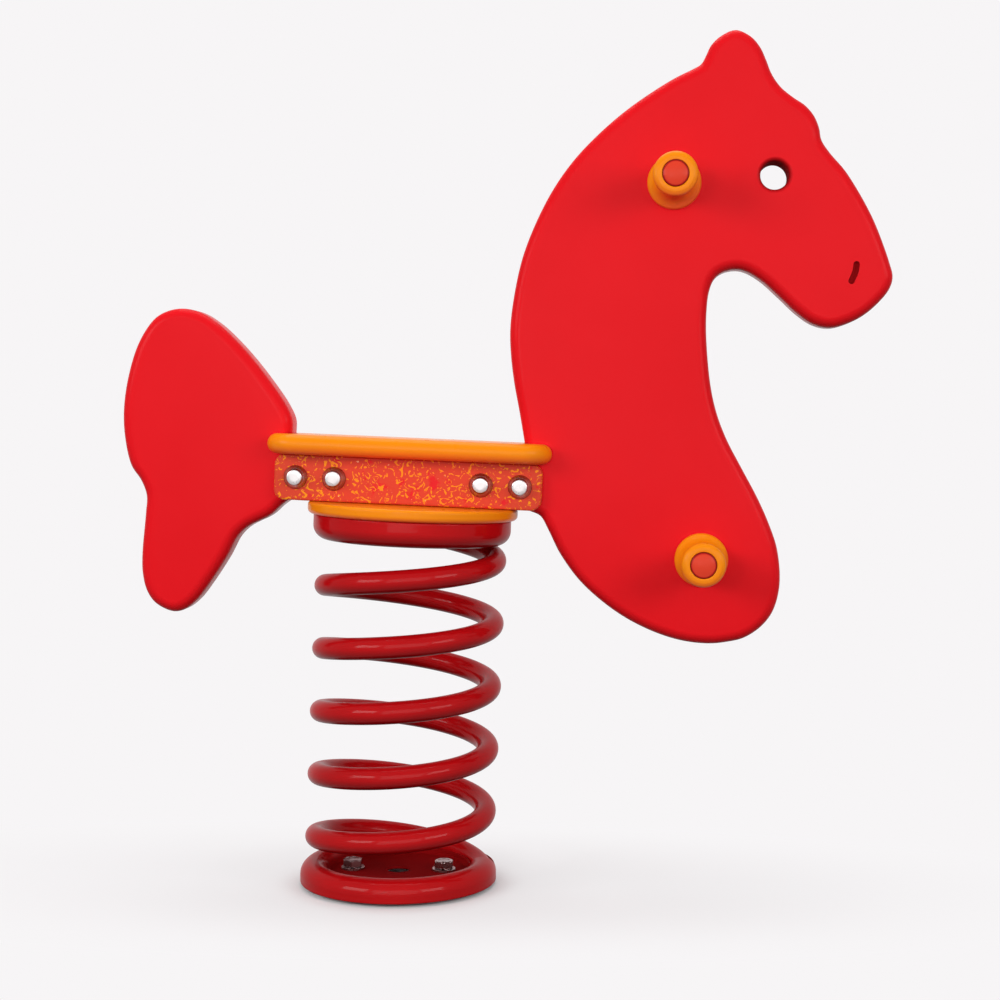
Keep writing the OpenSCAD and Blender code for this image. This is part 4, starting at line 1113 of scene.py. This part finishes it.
# The CAD pieces that stay are hidden fasteners, and take the steel
steelNodes = ["top_washers", "top_bolts", "barrel_nuts"]
steelNodes += [f"{holder}_{kind}" for holder in ("hand_grip", "foot_rest")
               for kind in ("rod", "washers", "nuts")]
for name in steelNodes:
    nodes[name].data.materials.clear()
    nodes[name].data.materials.append(steelMaterial)


# Stage

# The floor's own shade fades from fadeFrom to fadeTo, in metres from the middle, and is whole inside shadeTo
stage = dict(backColour=(0.930, 0.913, 0.922), floorColour=(0.93, 0.913, 0.922),
             bounceColour=(0.16, 0.15, 0.15), floorRoughness=0.9, floorHalf=6.0, fadeFrom=0.22, fadeTo=0.75,
             fadeStretch=(1, 2.8, 1), leastPlain=0.54, shadeTo=0.085, plainFrom=0.13, frontLight=0.10,
             backLight=0.6, darkTo=-0.15, brightFrom=0.5)


# Rays that see the background as the camera does: its own, and those that metal or gloss throws back
def seenRays(tree):
    path = addNode(tree, "ShaderNodeLightPath")
    rays = path.outputs["Is Camera Ray"]
    for name in ("Is Glossy Ray", "Is Transmission Ray"):
        either = addNode(tree, "ShaderNodeMath", {0: rays, 1: path.outputs[name]}, operation="MAXIMUM")
        rays = either.outputs[0]
    return rays


# A value's way between two limits, eased at both ends, as a share or between two results
def easedShare(tree, value, limits, results=(0.0, 1.0)):
    return addNode(tree, "ShaderNodeMapRange", {
        "Value": value, "From Min": limits[0], "From Max": limits[1], "To Min": results[0],
        "To Max": results[1]}, interpolation_type="SMOOTHSTEP").outputs[0]


# World: the background's colour for rays that see it; its light is weak in front and stronger behind
def buildWorld():
    world = bpy.data.worlds.new("softRoom")
    bpy.context.scene.world = world
    world.use_nodes = True
    tree = world.node_tree
    seen = tree.nodes["Background"]
    seen.inputs["Color"].default_value = (*stage["backColour"], 1)
    around = addNode(tree, "ShaderNodeTexCoord").outputs["Generated"]
    back = addNode(tree, "ShaderNodeSeparateXYZ", {"Vector": around}).outputs["Y"]
    bright = easedShare(tree, back, (stage["darkTo"], stage["brightFrom"]),
                        (stage["frontLight"], stage["backLight"]))
    light = addNode(tree, "ShaderNodeBackground", {"Color": (1, 1, 1, 1), "Strength": bright})
    mix = addNode(tree, "ShaderNodeMixShader", {0: seenRays(tree), 1: light.outputs[0], 2: seen.outputs[0]})
    tree.links.new(mix.outputs[0], tree.nodes["World Output"].inputs["Surface"])


# Floor: a plain sheet whose pale colour gives way to the background's own with distance, sooner across the
# object than along it
def buildFloor():
    half = stage["floorHalf"]
    corners = [(-half, -half, 0), (half, -half, 0), (half, half, 0), (-half, half, 0)]
    mesh = bpy.data.meshes.new("floor")
    mesh.from_pydata(corners, [], [(0, 1, 2, 3)])
    floor = bpy.data.objects.new("floor", mesh)
    bpy.context.scene.collection.objects.link(floor)
    material, tree, shader = newMaterial("paleFloor", {
        "Roughness": stage["floorRoughness"], "Specular IOR Level": 0.0})
    rays = seenRays(tree)
    seenColour = mixColour(tree, rays, stage["bounceColour"], stage["floorColour"])
    tree.links.new(seenColour, shader.inputs["Base Color"])
    plain = addNode(tree, "ShaderNodeEmission", {"Color": (*stage["backColour"], 1), "Strength": 1.0})
    place = addNode(tree, "ShaderNodeTexCoord").outputs["Object"]
    away = addNode(tree, "ShaderNodeVectorMath", {0: place}, operation="LENGTH").outputs["Value"]
    drawn = addNode(tree, "ShaderNodeVectorMath", {0: place, 1: stage["fadeStretch"]}, operation="MULTIPLY")
    reach = addNode(tree, "ShaderNodeVectorMath", {0: drawn.outputs[0]}, operation="LENGTH").outputs["Value"]
    share = easedShare(tree, reach, (stage["fadeFrom"], stage["fadeTo"]), (stage["leastPlain"], 1.0))
    outside = easedShare(tree, away, (stage["shadeTo"], stage["plainFrom"]))
    for factor in (outside, rays):
        share = addNode(tree, "ShaderNodeMath", {0: share, 1: factor}, operation="MULTIPLY").outputs[0]
    mix = addNode(tree, "ShaderNodeMixShader", {0: share, 1: shader.outputs[0], 2: plain.outputs[0]})
    tree.links.new(mix.outputs[0], tree.nodes["Material Output"].inputs["Surface"])
    mesh.materials.append(material)


# A soft box: place, the point that it faces, its sides in metres and its power
softBoxes = dict(
    keyLeft=dict(place=(-1.65, -1.62, 1.15), faces=(0.05, 0, 0.45), sides=(1.3, 0.8), power=25),
    fillRight=dict(place=(1.85, -1.65, 1.05), faces=(0.1, 0, 0.45), sides=(1.2, 0.8), power=18.5),
    front=dict(place=(0.2, -2.7, 0.95), faces=(0.1, 0, 0.45), sides=(2.6, 1.6), power=29),
    above=dict(place=(0.0, 0.3, 2.2), faces=(0.0, 0, 0.4), sides=(1.4, 1.4), power=17),
    spark=dict(place=(-0.27, -1.9, 0.66), faces=(0.0, 0, 0.25), sides=(0.12, 0.06), power=2))


def buildLights():
    for name, box in softBoxes.items():
        lamp = bpy.data.lights.new(name, "AREA")
        lamp.shape, lamp.size, lamp.size_y, lamp.energy = "RECTANGLE", *box["sides"], box["power"]
        holder = bpy.data.objects.new(name, lamp)
        bpy.context.scene.collection.objects.link(holder)
        place = np.array(box["place"])
        way = np.array(box["faces"]) - place
        flat = np.hypot(way[0], way[1])
        holder.location = place
        holder.rotation_euler = (np.arctan2(flat, -way[2]), 0, np.arctan2(way[1], way[0]) - np.pi / 2)


camera = dict(place=(0.2448, -1.8, 0.4779), tiltDeg=87.31, panDeg=4.45, lens=64.25, sensor=36)


def buildCamera():
    lens = bpy.data.cameras.new("photoCamera")
    lens.lens, lens.sensor_width = camera["lens"], camera["sensor"]
    holder = bpy.data.objects.new("photoCamera", lens)
    bpy.context.scene.collection.objects.link(holder)
    holder.location = camera["place"]
    holder.rotation_euler = (radians(camera["tiltDeg"]), 0, radians(camera["panDeg"]))
    bpy.context.scene.camera = holder


buildWorld()
buildFloor()
buildLights()
buildCamera()
bpy.context.scene.view_settings.view_transform = "Standard"
print("stage, lights and camera set")
